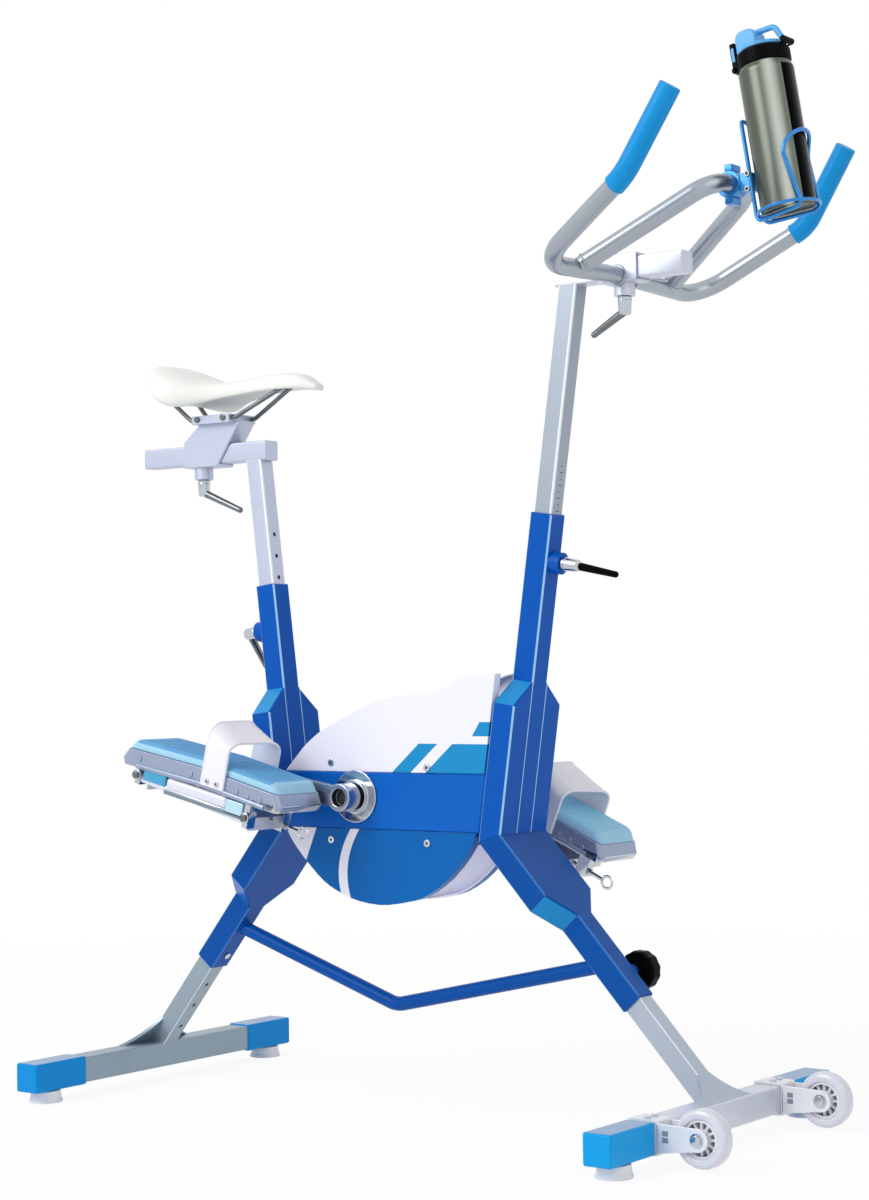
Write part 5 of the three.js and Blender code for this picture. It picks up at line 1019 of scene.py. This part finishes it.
def saddleShare(along, column):
    # a smooth curve through one column of the stations
    rows = saddleLook["stations"]
    index = next(i for i in range(1, len(rows)) if rows[i][0] >= along or i == len(rows) - 1)
    a, b = rows[index - 1], rows[index]
    before = rows[max(index - 2, 0)]
    after = rows[min(index + 1, len(rows) - 1)]
    t = (along - a[0]) / (b[0] - a[0])
    slopeA = (b[column] - before[column]) / (b[0] - before[0]) * (b[0] - a[0])
    slopeB = (after[column] - a[column]) / (after[0] - a[0]) * (b[0] - a[0])
    return ((2 * t ** 3 - 3 * t * t + 1) * a[column] + (t ** 3 - 2 * t * t + t) * slopeA
            + (-2 * t ** 3 + 3 * t * t) * b[column] + (t ** 3 - t * t) * slopeB)


def saddlePoint(along, angle):
    look = saddleLook
    width = look["half"] * saddleShare(along, 1)
    height = look["crown"] - look["low"]
    top, low = look["low"] + height * saddleShare(along, 2), look["low"] + height * saddleShare(along, 3)
    across = math.copysign(abs(math.cos(angle)) ** look["square"], math.cos(angle))
    up = math.copysign(abs(math.sin(angle)) ** look["square"], math.sin(angle))
    belly = low + look["arch"] * math.sin(math.pi * along) * (1 - across * across)
    middle = low + (top - low) * look["middle"]
    z = middle + (top - middle if up > 0 else middle - belly) * up
    return Vector((look["rear"] + (look["nose"] - look["rear"]) * along, width * across, z))


def saddleShape():
    look = saddleLook
    bm = bmesh.new()
    ring = bmesh.ops.create_circle(bm, cap_ends=True, segments=look["around"], radius=1)["verts"]
    angles = [math.tau * (k + 0.5) / look["around"] for k in range(look["around"])]
    for vert, angle in zip(ring, angles):
        vert.co = saddlePoint(0, angle)
    edges = list(bm.edges)
    for step in range(1, look["steps"] + 1):
        along = 0.5 - 0.5 * math.cos(math.pi * step / look["steps"])
        ring, edges = carried(bm, edges)
        for vert, angle in zip(ring, angles):
            vert.co = saddlePoint(along, angle)
    bmesh.ops.contextual_create(bm, geom=edges)
    # the two ends close in a shallow dome
    for end in [f for f in bm.faces if len(f.verts) > 8]:
        way = 1 if end.calc_center_median().x > -300 else -1
        for shrink, out in ((0.86, 1.6), (0.66, 1.2), (0.34, 0.7)):
            made = bmesh.ops.extrude_face_region(bm, geom=[end])
            bmesh.ops.delete(bm, geom=[end], context="FACES_ONLY")
            end = facesIn(made)[0]
            middle = end.calc_center_median()
            bmesh.ops.scale(bm, vec=(1, shrink, shrink), space=Matrix.Translation(-middle), verts=end.verts)
            bmesh.ops.translate(bm, vec=(way * out, 0, 0), verts=end.verts)
    bmesh.ops.recalc_face_normals(bm, faces=bm.faces)
    return bm


railLook = {"radius": 3.5, "bend": 30 * 0.55, "low": 1022.5, "rearX": -400, "y": 23,
            "route": ((-446, 34, 1066), (-400, 23, 1022.5), (-310, 23, 1022.5), (-225, 9, 1064))}
clampLook = {"x": (-380, -328), "y": (31.5, 34), "radius": 5, "top": ((-354, 0, 1027.5), (-354, 0, 1032)),
             "topRadius": 7}
saddleSkin = makePiece("saddleCover", saddleShape(), "saddleSkin", "saddle_slide", "saddle", smooth=80,
                       even=False)
rails = []
for side in (-1, 1):
    route = [(x, side * y, z) for x, y, z in railLook["route"]]
    rails.append(swept(bentRoute(route, railLook["bend"], 8), railLook["radius"], 24))
rails.append(pin(railLook["rearX"], railLook["low"], -railLook["y"], railLook["y"], railLook["radius"], 0.3, 24))
makePiece("saddleRailBars", assembled(*rails), "darkChrome", "saddle_slide", "saddle_rails")
clampBolts = []
for x in clampLook["x"]:
    for side in (-1, 1):
        ends = (side * y for y in clampLook["y"])
        clampBolts.append((pin(x, railLook["low"], *ends, clampLook["radius"], 0.8, 6), 1))
clampBolts.append((drum(*clampLook["top"], clampLook["topRadius"], 1, 6), 1))
dressed("saddle_carriage", ["seatSteel", "darkChrome"], 0.7, extra=clampBolts)
print("saddle, rails and carriage")


# handlebar: two horns on a sliding block, an inner loop and two grips
barLook = {"radius": 12.5, "blockX": (347, 407), "blockHalf": 19, "wall": 3.5, "middle": 1178, "collar": 14.5,
           "bend": 60, "upperBend": 62, "loopBend": 46, "gripRadius": 14.6, "gripStart": 22, "gripOver": 3.3,
           "weld": 2.0, "postX": 377, "hornFoot": (377, 17.25, 1168), "hornSide": (375, 200, 1163),
           "corner": (529, 241, 1252), "tip": (594, 237, 1353), "loopFoot": (375, 118, 1165),
           "loopTop": (548, 50, 1272)}


def barPoint(key, side):
    x, y, z = barLook[key]
    return Vector((x, side * y, z))


def squareSleeve(x0, x1, halfSize, wall, middle, edge):
    bm = bmesh.new()
    bmesh.ops.create_cube(bm, size=1)
    bmesh.ops.scale(bm, vec=(x1 - x0, 2 * halfSize, 2 * halfSize), verts=bm.verts)
    bevelled(bm, [e for e in bm.edges if abs(e.verts[0].co.x - e.verts[1].co.x) > 1], edge, 4, clamp=False)
    ends = [f for f in bm.faces if abs(f.normal.x) > 0.9]
    bmesh.ops.inset_region(bm, faces=ends, thickness=wall, use_even_offset=True)
    rims = [[e for e in bm.edges if all(v in f.verts for v in e.verts)] for f in ends]
    bmesh.ops.delete(bm, geom=ends, context="FACES_ONLY")
    bmesh.ops.bridge_loops(bm, edges=rims[0] + rims[1])
    bmesh.ops.translate(bm, vec=((x0 + x1) / 2, 0, middle), verts=bm.verts)
    bmesh.ops.recalc_face_normals(bm, faces=bm.faces)
    return softened(bm, 0.6, 2, 60)


collarLow = barLook["middle"] - barLook["blockHalf"]
postX, hornZ = barLook["postX"], barLook["hornFoot"][2]
bars = [squareSleeve(*barLook["blockX"], barLook["blockHalf"], barLook["wall"], barLook["middle"], 2),
        drum((postX, 0, collarLow - 18), (postX, 0, collarLow + 0.5), barLook["collar"], 1, 48)]
for side in (-1, 1):
    route = bentRoute([barPoint(key, side) for key in ("hornFoot", "hornSide", "corner", "tip")],
                      [barLook["bend"], barLook["upperBend"]], 16)
    bars.append((swept(route, barLook["radius"], 40), 1))
    bars.append((ringAround((postX, side * 19.3, hornZ), (0, 1, 0), 12.8, barLook["weld"]), 1))
makePiece("hornBars", assembled(*bars), ["stemSteel", "steelBar"], "handlebar_slide", "handlebar")
loopRoute = bentRoute([barPoint("loopFoot", -1), barPoint("loopTop", -1), barPoint("loopTop", 1),
                       barPoint("loopFoot", 1)], barLook["loopBend"], 14)
loopBeads = [swept(loopRoute, barLook["radius"], 40)]
for side in (-1, 1):
    foot = barPoint("loopFoot", side)
    away = (barPoint("loopTop", side) - foot).normalized()
    loopBeads.append(ringAround(foot + away * 14.5, away, 12.6, barLook["weld"]))
makePiece("loopBar", assembled(*loopBeads), "steelBar", "handlebar_slide", "handlebar_loop")
for hand, side in sides.items():
    corner, tip = barPoint("corner", side), barPoint("tip", side)
    start = corner + (barPoint("hornSide", side) - corner).normalized() * barLook["gripStart"]
    tip += (tip - corner).normalized() * barLook["gripOver"]
    route = bentRoute([start, corner, tip], barLook["upperBend"], 16)
    sleeve = softened(swept(route, barLook["gripRadius"], 40), 2.2, 4, 60)
    lowEnd = (route[1] - route[0]).normalized()
    cuff = ringAround(route[0] + lowEnd * 2, lowEnd, barLook["gripRadius"] - 1.1, 1.4)
    makePiece(hand + "Grip", assembled(sleeve, cuff), "gripBlue", "handlebar_slide", hand + "_grip")
print("handlebar, loop and grips")


# bottle: brushed body, black collar, blue lid, latch, and the wire cage that holds it
flask = leaning(bottleLook["x"], bottleLook["z"], bottleLook["tilt"])
flaskLook = {"radius": 36.75, "height": 198, "collarHeight": 21, "gap": 0.3, "wire": 2.8, "ridges": 36, "hinge": 37.25,
             "latchHinge": -39.5, "ear": 4.5, "barrel": 4.4, "disc": 31, "spoutHeight": 31, "spoutHalf": 15,
             "handle": 4, "latchHalf": 8}
collarLowZ = flaskLook["height"] + flaskLook["gap"]
collarTopZ = collarLowZ + flaskLook["collarHeight"]
lidLow = collarTopZ + flaskLook["gap"]
cup = rounded([(0, 0), (33, 0), (36.75, 4), (36.75, 190), (33.5, 198), (31.5, 198.2), (31.5, 214), (29.5, 214),
               (29.5, 196), (34.7, 186), (34.7, 5), (0, 2)], 2.5, 5)
makePiece("flaskBody", moved(spun(cup, 72), flask), "bottleSteel", "bottle", "bottle_body")
ring = rounded([(31.8, collarLowZ), (35, collarLowZ), (35, collarTopZ - 3), (32, collarTopZ), (27.5, collarTopZ),
                (27.5, collarTopZ - 3), (31.8, collarTopZ - 3)], 1.2, 4)
collarParts = [spun(ring, 72, closed=True)]
for k in range(flaskLook["ridges"]):
    turn = Matrix.Rotation(math.tau * k / flaskLook["ridges"], 4, "Z")
    collarParts.append(moved(block((34.6, -1.3, collarLowZ + 2), (35.5, 1.3, collarTopZ - 5), 0.3, 1), turn))
hinge = (flaskLook["hinge"], collarTopZ + 2.25)
latchHinge = (flaskLook["latchHinge"], collarLowZ + 4.5)
radius = flaskLook["ear"]
for (x, z), length in ((hinge, 18), (latchHinge, 16)):
    for side in (-1, 1):
        y0, y1 = sorted((side * (length / 2 + 0.3), side * (length / 2 + 3.3)))
        collarParts.append(pin(x, z, y0, y1, radius, 0.5, 32))
        xs = sorted((math.copysign(32, x), x))
        collarParts.append(block((xs[0], y0, z - radius), (xs[1], y1, min(z + radius, collarTopZ)), 0.4, 2))
    collarParts.append(pin(x, z, -length / 2 - 1, length / 2 + 1, 1.8, 0.2, 24))
makePiece("flaskCollar", moved(assembled(*collarParts), flask), "black", "bottle", "bottle_collar")
spoutTop, spoutHalf = lidLow + flaskLook["spoutHeight"], flaskLook["spoutHalf"]
spoutEdge = [(0, lidLow), (0, spoutTop), (-31, spoutTop), (-31, lidLow)]
spout = plate(rounded(spoutEdge, 13, 8), -spoutHalf, spoutHalf, 2.6, 4, 50)
disc = drum((0, 0, lidLow), (0, 0, lidLow + 5), flaskLook["disc"], 1.2, 64)
tongue = block((0, -9, lidLow), (hinge[0], 9, lidLow + 5), 1)
barrel = pin(*hinge, -9, 9, flaskLook["barrel"], 0.5, 32)
handleRoute = bentRoute([(-4, 0, lidLow + 26), (22, 0, lidLow + 26), (33.25, 0, lidLow + 2.5)], 9, 10)
handle = swept(handleRoute, flaskLook["handle"], 28)
makePiece("flaskLid", moved(assembled(spout, disc, tongue, (barrel, 1), handle), flask), ["lidBlue", "black"], "lid",
          "bottle_lid")
x, z = latchHinge
wide = flaskLook["latchHalf"]
latchPlate = plate([(x - 4.5, z), (x + 4, z), (x + 4, z + 38), (x - 4.5, z + 38)], -wide, wide, 2, 4)
inserts = [block((x - 5.3, -4.6, z + 9), (x - 3, 4.6, z + 33), 1.2)]
inserts += [block((x - 2.4, y - 0.8, z + 12), (x + 2, y + 0.8, z + 31), 0.6) for y in (-wide, wide)]
latchBarrel = pin(x, z, -wide, wide, flaskLook["barrel"], 0.5, 32)
latchParts = [(part, 1) for part in inserts]
makePiece("flaskLatch", moved(assembled(latchPlate, latchBarrel, *latchParts), flask), ["black", "lidBlue"], "latch",
          "bottle_latch")
cageLook = {"gap": 1.2, "top": 134, "y": 10, "foot": 38, "leg": 57, "archLow": 66, "archRise": 32, "ring": 40.75,
            "ringWire": 2.2, "half": 12, "clampX": 548, "clampZ": 1272, "screwX": 577, "screwZ": (1262, 1282)}


def cageRoute(side):
    look = cageLook
    r = flaskLook["radius"] + flaskLook["wire"] + look["gap"]
    back, foot = -r - 2.4, -flaskLook["wire"] - look["gap"]

    def at(angle, height):
        return (r * math.cos(angle), side * r * math.sin(angle), height)

    y = side * look["y"]
    legFoot, legTop = math.radians(look["foot"]), math.radians(look["leg"])
    lower = bentRoute([(back, 0, look["top"]), (back, y, look["top"]), (back, y, foot), at(legFoot, foot),
                       at(legTop, look["archLow"])], [5, 9, 9], 6)
    turns = [k / 16 * math.pi / 2 for k in range(1, 17)]
    return lower + [Vector(at(legTop * math.cos(turn), look["archLow"] + look["archRise"] * math.sin(turn)))
                    for turn in turns]


half, clampX, clampZ = cageLook["half"], cageLook["clampX"], cageLook["clampZ"]
cageParts = [moved(swept(cageRoute(side), flaskLook["wire"], 20), flask) for side in (-1, 1)]
cageParts.append(moved(ringAround((0, 0, 3), (0, 0, 1), cageLook["ring"], cageLook["ringWire"], 64), flask))
band = [(12.8, -half), (17.8, -half), (17.8, half), (12.8, half)]
cageParts.append(moved(spun(rounded(band + band[:1], 1, 3)[1:], 56, closed=True),
                       Matrix.Translation((clampX, 0, clampZ)) @ alongY))
cageParts.append(block((565, -half, clampZ - 12), (583, half, clampZ + 12), 1.5))
for way in (-1, 1):
    low, high = sorted((clampZ + way * 17, clampZ + way * 26.8))
    cageParts.append(block((clampX - 6, -half, low), (clampX + 6, half, high), 1.5))
for z in cageLook["screwZ"]:
    cageParts.append((pin(cageLook["screwX"], z, -half, -14.4, 4.4, 0.6, 32), 1))
    # a dark hexagon painted as the shade in the screw's socket
    cageParts.append((pin(cageLook["screwX"], z, -14, -14.5, 2.4, 0.1, 6), 2))
makePiece("flaskCage", assembled(*cageParts), ["cageBlue", "darkChrome", "darkHole"], "handlebar_slide", "bottle_cage")
print("bottle and cage")


# the feet: bars, legs, flush gussets, caps, pads, wheel brackets and wheels
footLook = {"x": 498, "half": 290, "middle": 39, "size": 38, "edge": 3, "cap": 42.4, "capLength": 105, "padInset": 40,
            "wheelX": 577.5, "wheelY": 164.5, "wheelZ": 42.2, "leg": 15, "plate": 5, "inCap": 3.3,
            "front": {"from": 150, "to": 478, "face": -1, "spread": 80, "rise": 50, "root": 480},
            "rear": {"from": 124, "to": 458, "face": 1, "spread": 86, "rise": 56, "root": 458},
            "holes": (312, 354.6, 399), "holeRadius": 3.4, "bolt": 248.5}


swapXY = Matrix(((0, 1, 0, 0), (1, 0, 0, 0), (0, 0, 1, 0), (0, 0, 0, 1)))


def gussetShape(web, steps=12):
    # one plate across the leg, flush with its upper face, that flares out to the foot bar
    leg = footLook["leg"]
    edge = []
    for k in range(steps + 1):
        t = k / steps
        first, last = (web["spread"], web["root"]), (leg - 1, web["root"] - web["rise"])
        pull = (leg + 0.3 * (web["spread"] - leg), web["root"] - 0.3 * web["rise"])
        edge.append([(1 - t) ** 2 * a + 2 * t * (1 - t) * b + t * t * c for a, b, c in zip(first, pull, last)])
    outline = [tuple(p) for p in edge] + [(-y, z) for y, z in reversed(edge)]
    near, far = sorted((web["face"] * (leg - footLook["plate"]), web["face"] * (leg + 0.2)))
    bm = moved(plate(outline, near, far, 0.7, 2, 50), swapXY)
    bmesh.ops.recalc_face_normals(bm, faces=bm.faces)
    return bm


def footFrame(end, place, x):
    look, web = footLook, footLook[end]
    half, leg = look["size"] / 2, look["leg"]
    end = look["half"] - look["inCap"]
    bar = block((x - half, -end, look["middle"] - half), (x + half, end, look["middle"] + half), look["edge"], 4)
    tube = block((-leg, -leg, web["from"]), (leg, leg, web["to"]), 2.4, 3)
    return [(bar, 3), moved(tube, place), moved(gussetShape(web), place)]


# dark discs painted as the shade inside the holes in the rear leg
legHoles = []
for along in footLook["holes"]:
    legHoles.append((drum(rearLegFrame @ Vector((-14.2, 0, along)), rearLegFrame @ Vector((-15.08, 0, along)),
                          footLook["holeRadius"], 0, 32), 2))
# each foot takes its own tone of one steel, the front painted lit and the rear painted in shade
for end, place, x, extra in (("front", frontLegFrame, footLook["x"], []),
                             ("rear", rearLegFrame, -footLook["x"], legHoles)):
    node = end + "_foot_frame"
    foot = makePiece(end + "FootFrame", assembled(*footFrame(end, place, x), *extra),
                     [end + "LegSteel", "steelEdgePaintedHighlight", "darkHole", end + "BarSteel"], end + "_foot", node)
    turn = place.to_3x3().inverted()
    # the legs' rounded corners take the pale steel, a painted highlight
    for face in foot.data.polygons:
        if face.material_index == 0:
            across, broad, along = (abs(c) for c in turn @ face.normal)
            if along < 0.2 and across > 0.3 and broad > 0.3:
                face.material_index = 1
legBolt = rearLegFrame @ Vector((-18, 0, footLook["bolt"]))
boltEnd = rearLegFrame @ Vector((-20.5, 0, footLook["bolt"]))
makePiece("legBolt", drum(legBolt, boltEnd, 5.5, 0.9, 32), "chrome", "frame", ())
# the front caps take a lighter blue, as painted light
capFinish = {"rear": "capBlue", "front": "capCyanPaintedLight"}
padProfile = rounded([(0, 0), (25, 0), (25, 3), (23, 6), (22, 16.9), (0, 16.9)], 1.6, 4)
for end, x in (("rear", -footLook["x"]), ("front", footLook["x"])):
    for hand, side in sides.items():
        size, half, middle = footLook["cap"] / 2, footLook["half"], footLook["middle"]
        low, high = sorted((side * (half - footLook["capLength"]), side * half))
        cap = block((x - size, low, middle - size), (x + size, high, middle + size), 3.4, 5)
        # the top faces take a pale grey-blue, a painted reflection
        for face in cap.faces:
            face.material_index = 1 if face.normal.z > 0.9 else 0
        name = end + hand.capitalize()
        makePiece(name + "Cap", cap, [capFinish[end], "capTopPaintedReflection"], end + "_foot", f"{end}_{hand}_cap")
        pad = moved(spun(padProfile, 64), Matrix.Translation((x, side * (half - footLook["padInset"]), 0)))
        makePiece(name + "Pad", pad, "rubberWhite", end + "_foot", f"{end}_{hand}_pad")
wheelLook = {"radius": 38, "half": 12, "core": 24, "coreHalf": 9, "web": 1.6, "hub": 9.5, "bore": 4.3, "spokes": 12,
             "spokeWidth": 3.2, "inner": 13}
forkLook = {"inner": 15, "outer": 18, "skin": 22.3, "wall": 3, "eye": 15, "slotX": 532, "slot": 4.4, "slotStep": 4.2}


def wheelShape():
    look = wheelLook
    tyre = [(look["core"], -look["coreHalf"]), (26, -look["half"]), (32, -look["half"]), (36.5, -9.5),
            (look["radius"], -5), (look["radius"], 0)]
    tyre = rounded(tyre, 1.6, 4)[:-1]
    parts = [(spun(tyre + [(r, -y) for r, y in reversed(tyre)], 72, closed=True), 0)]
    for low, high, reach in ((look["bore"], look["hub"], look["half"]), (look["inner"] - 2, look["inner"], 7),
                             (look["core"] - 2.4, look["core"] + 0.3, look["coreHalf"] + 0.4)):
        ring = [(low, -reach), (high, -reach), (high, reach), (low, reach)]
        parts.append((spun(rounded(ring + ring[:1], 0.6, 2)[1:], 64, closed=True), 1))
    # a grey web behind the spokes, its grey painted as the shade in the pockets
    parts.append((drum((0, 0, -look["web"]), (0, 0, look["web"]), look["core"], 0, 64), 2))
    for k in range(look["spokes"]):
        wide = look["spokeWidth"] / 2
        spoke = block((look["hub"] - 1, -wide, -6.6), (look["core"], wide, 6.6), 0.5, 1)
        parts.append((moved(spoke, Matrix.Rotation(math.tau * k / look["spokes"], 4, "Z")), 1))
    return assembled(*parts)


def forkShape(centre):
    look, x, z = forkLook, centre.x, centre.z
    turn = Matrix.Translation((footLook["x"], centre.y, footLook["middle"])) @ Matrix.Rotation(math.pi / 2, 4, "Z")
    parts = [moved(squareSleeve(-look["outer"], look["outer"], look["skin"], look["wall"], 0, 3), turn)]
    low, high = footLook["middle"] - look["skin"] + 3, footLook["middle"] + look["skin"] - 3
    front, top = footLook["x"] + look["skin"] - 1.5, footLook["middle"] + look["skin"]
    nose = [(x + look["eye"] * math.cos(a), z + look["eye"] * math.sin(a))
            for a in (math.radians(-100 + 200 * k / 24) for k in range(25))]
    for way in (-1, 1):
        face = centre.y + way * look["outer"]
        inner, outer = sorted((centre.y + way * look["inner"], face))
        parts.append(plate([(front, low)] + nose + [(front, high)], inner, outer, 0.8, 3, 50))
        # grey blocks painted as the shade in the plate's slots
        for step in (-1, 1):
            slotZ = z + step * look["slotStep"]
            inner, outer = sorted((centre.y + way * (look["outer"] - 1), centre.y + way * (look["outer"] + 0.06)))
            parts.append((block((look["slotX"] - look["slot"], inner, slotZ - 3.4),
                                (look["slotX"] + look["slot"], outer, slotZ + 3.4), 0), 2))
        parts.append((pin(x, z, face, face + way * 1, 9.5, 0.3, 40), 1))
        parts.append((pin(x, z, face, face + way * 4, 7.4, 1.4, 6), 1))
        boltX, boltY = footLook["x"] + 3, centre.y + way * 9
        parts.append((drum((boltX, boltY, top - 1), (boltX, boltY, top + 3.4), 4.6, 1.4, 32), 1))
    axle = pin(x, z, centre.y - look["outer"], centre.y + look["outer"], 4, 0.2, 32)
    return assembled(*parts, (axle, 1))


for hand, side in sides.items():
    centre = Vector((footLook["wheelX"], side * footLook["wheelY"], footLook["wheelZ"]))
    wheel = moved(wheelShape(), Matrix.Translation(centre) @ alongY)
    makePiece(hand + "Wheel", wheel, ["tyreWhite", "hubWhite", "hubPaintedShade"], bodyOf(hand + "_wheel"), hand + "_wheel")
    makePiece(hand + "WheelFork", forkShape(centre), ["bracketWhite", "chrome", "hubPaintedShade"], "front_foot",
              hand + "_wheel_bracket")
print("feet and wheels")


# the studio: a pale floor, a white surround and soft lamps
studio = {"worldLight": 0.62, "key": 105, "fill": 12, "floorGlow": 0.9, "floorTone": 1.0}
floorMesh = bmesh.new()
bmesh.ops.create_grid(floorMesh, x_segments=1, y_segments=1, size=30)
floorData = bpy.data.meshes.new("floor")
floorMesh.to_mesh(floorData)
floorMesh.free()
floor = bpy.data.objects.new("floor", floorData)
bpy.context.scene.collection.objects.link(floor)


def whiteToCamera(tree, plainShader, glow, output):
    # camera, glossy and transmission rays see this much of an even white; glow is a number or a socket
    path = tree.nodes.new("ShaderNodeLightPath")
    seen = mathNode(tree, "MAXIMUM", path.outputs["Is Camera Ray"], path.outputs["Is Glossy Ray"])
    seen = mathNode(tree, "MAXIMUM", seen, path.outputs["Is Transmission Ray"])
    kind = "ShaderNodeBackground" if output.bl_idname == "ShaderNodeOutputWorld" else "ShaderNodeEmission"
    white = tree.nodes.new(kind)
    white.inputs["Color"].default_value = (1, 1, 1, 1)
    mix = tree.nodes.new("ShaderNodeMixShader")
    tree.links.new(mathNode(tree, "MULTIPLY", seen, glow), mix.inputs["Fac"])
    tree.links.new(plainShader, mix.inputs[1])
    tree.links.new(white.outputs[0], mix.inputs[2])
    tree.links.new(mix.outputs[0], output.inputs["Surface"])


floorMaterial = bpy.data.materials.new("floorPale")
floorMaterial.use_nodes = True
floorTree = floorMaterial.node_tree
floorShader = floorTree.nodes["Principled BSDF"]
floorShader.inputs["Base Color"].default_value = (studio["floorTone"],) * 3 + (1,)
floorShader.inputs["Roughness"].default_value = 0.9
floorShader.inputs["Specular IOR Level"].default_value = 0.1
floorPlace = floorTree.nodes.new("ShaderNodeTexCoord")
fromMiddle = addNode(floorTree, "ShaderNodeVectorMath", {"operation": "LENGTH"})
fade = addNode(floorTree, "ShaderNodeMapRange", From_Min=0.9, From_Max=2.6, To_Min=studio["floorGlow"], To_Max=1)
floorTree.links.new(floorPlace.outputs["Object"], fromMiddle.inputs[0])
floorTree.links.new(fromMiddle.outputs["Value"], fade.inputs["Value"])
whiteToCamera(floorTree, floorShader.outputs[0], fade.outputs["Result"], floorTree.nodes["Material Output"])
floorData.materials.append(floorMaterial)
world = bpy.data.worlds.new("studio")
world.use_nodes = True
bpy.context.scene.world = world
surround = world.node_tree.nodes["Background"]
surround.inputs["Color"].default_value = (1, 1, 1, 1)
surround.inputs["Strength"].default_value = studio["worldLight"]
whiteToCamera(world.node_tree, surround.outputs[0], 1, world.node_tree.nodes["World Output"])


def softLamp(name, place, target, size, watts):
    data = bpy.data.lights.new(name, "AREA")
    data.size = size
    data.energy = watts
    lamp = bpy.data.objects.new(name, data)
    lamp.location = place
    lamp.rotation_euler = (Vector(target) - Vector(place)).to_track_quat("-Z", "Y").to_euler()
    bpy.context.scene.collection.objects.link(lamp)


softLamp("keyLamp", (-1.6, -3.6, 3.2), (0, 0, 0.6), 2.5, studio["key"])
softLamp("fillLamp", (3.4, -0.6, 2.6), (0, 0, 0.7), 2.5, studio["fill"])

# the camera stands where the photograph was taken from
view = {"x": 2.15301, "y": -2.84957, "z": 0.63888, "turn": 36.47, "rise": -1.54, "roll": -0.73, "lens": 73.66}
turn, rise, roll = (math.radians(view[key]) for key in ("turn", "rise", "roll"))
ahead = Vector((-math.sin(turn) * math.cos(rise), math.cos(turn) * math.cos(rise), -math.sin(rise)))
across = Vector((math.cos(turn), math.sin(turn), 0))
above = across.cross(ahead)
rolledRight = across * math.cos(roll) + above * math.sin(roll)
rolledUp = above * math.cos(roll) - across * math.sin(roll)
cameraData = bpy.data.cameras.new("camera")
cameraData.lens = view["lens"]
cameraData.sensor_width = 36
cameraData.clip_start = 0.05
camera = bpy.data.objects.new("camera", cameraData)
stand = Matrix((rolledRight, rolledUp, -ahead)).transposed().to_4x4()
camera.matrix_world = Matrix.Translation((view["x"] + shiftX, view["y"], view["z"])) @ stand
bpy.context.scene.collection.objects.link(camera)
bpy.context.scene.camera = camera
bpy.context.scene.view_settings.view_transform = "Standard"
print("studio and camera")

bpy.context.view_layer.update()
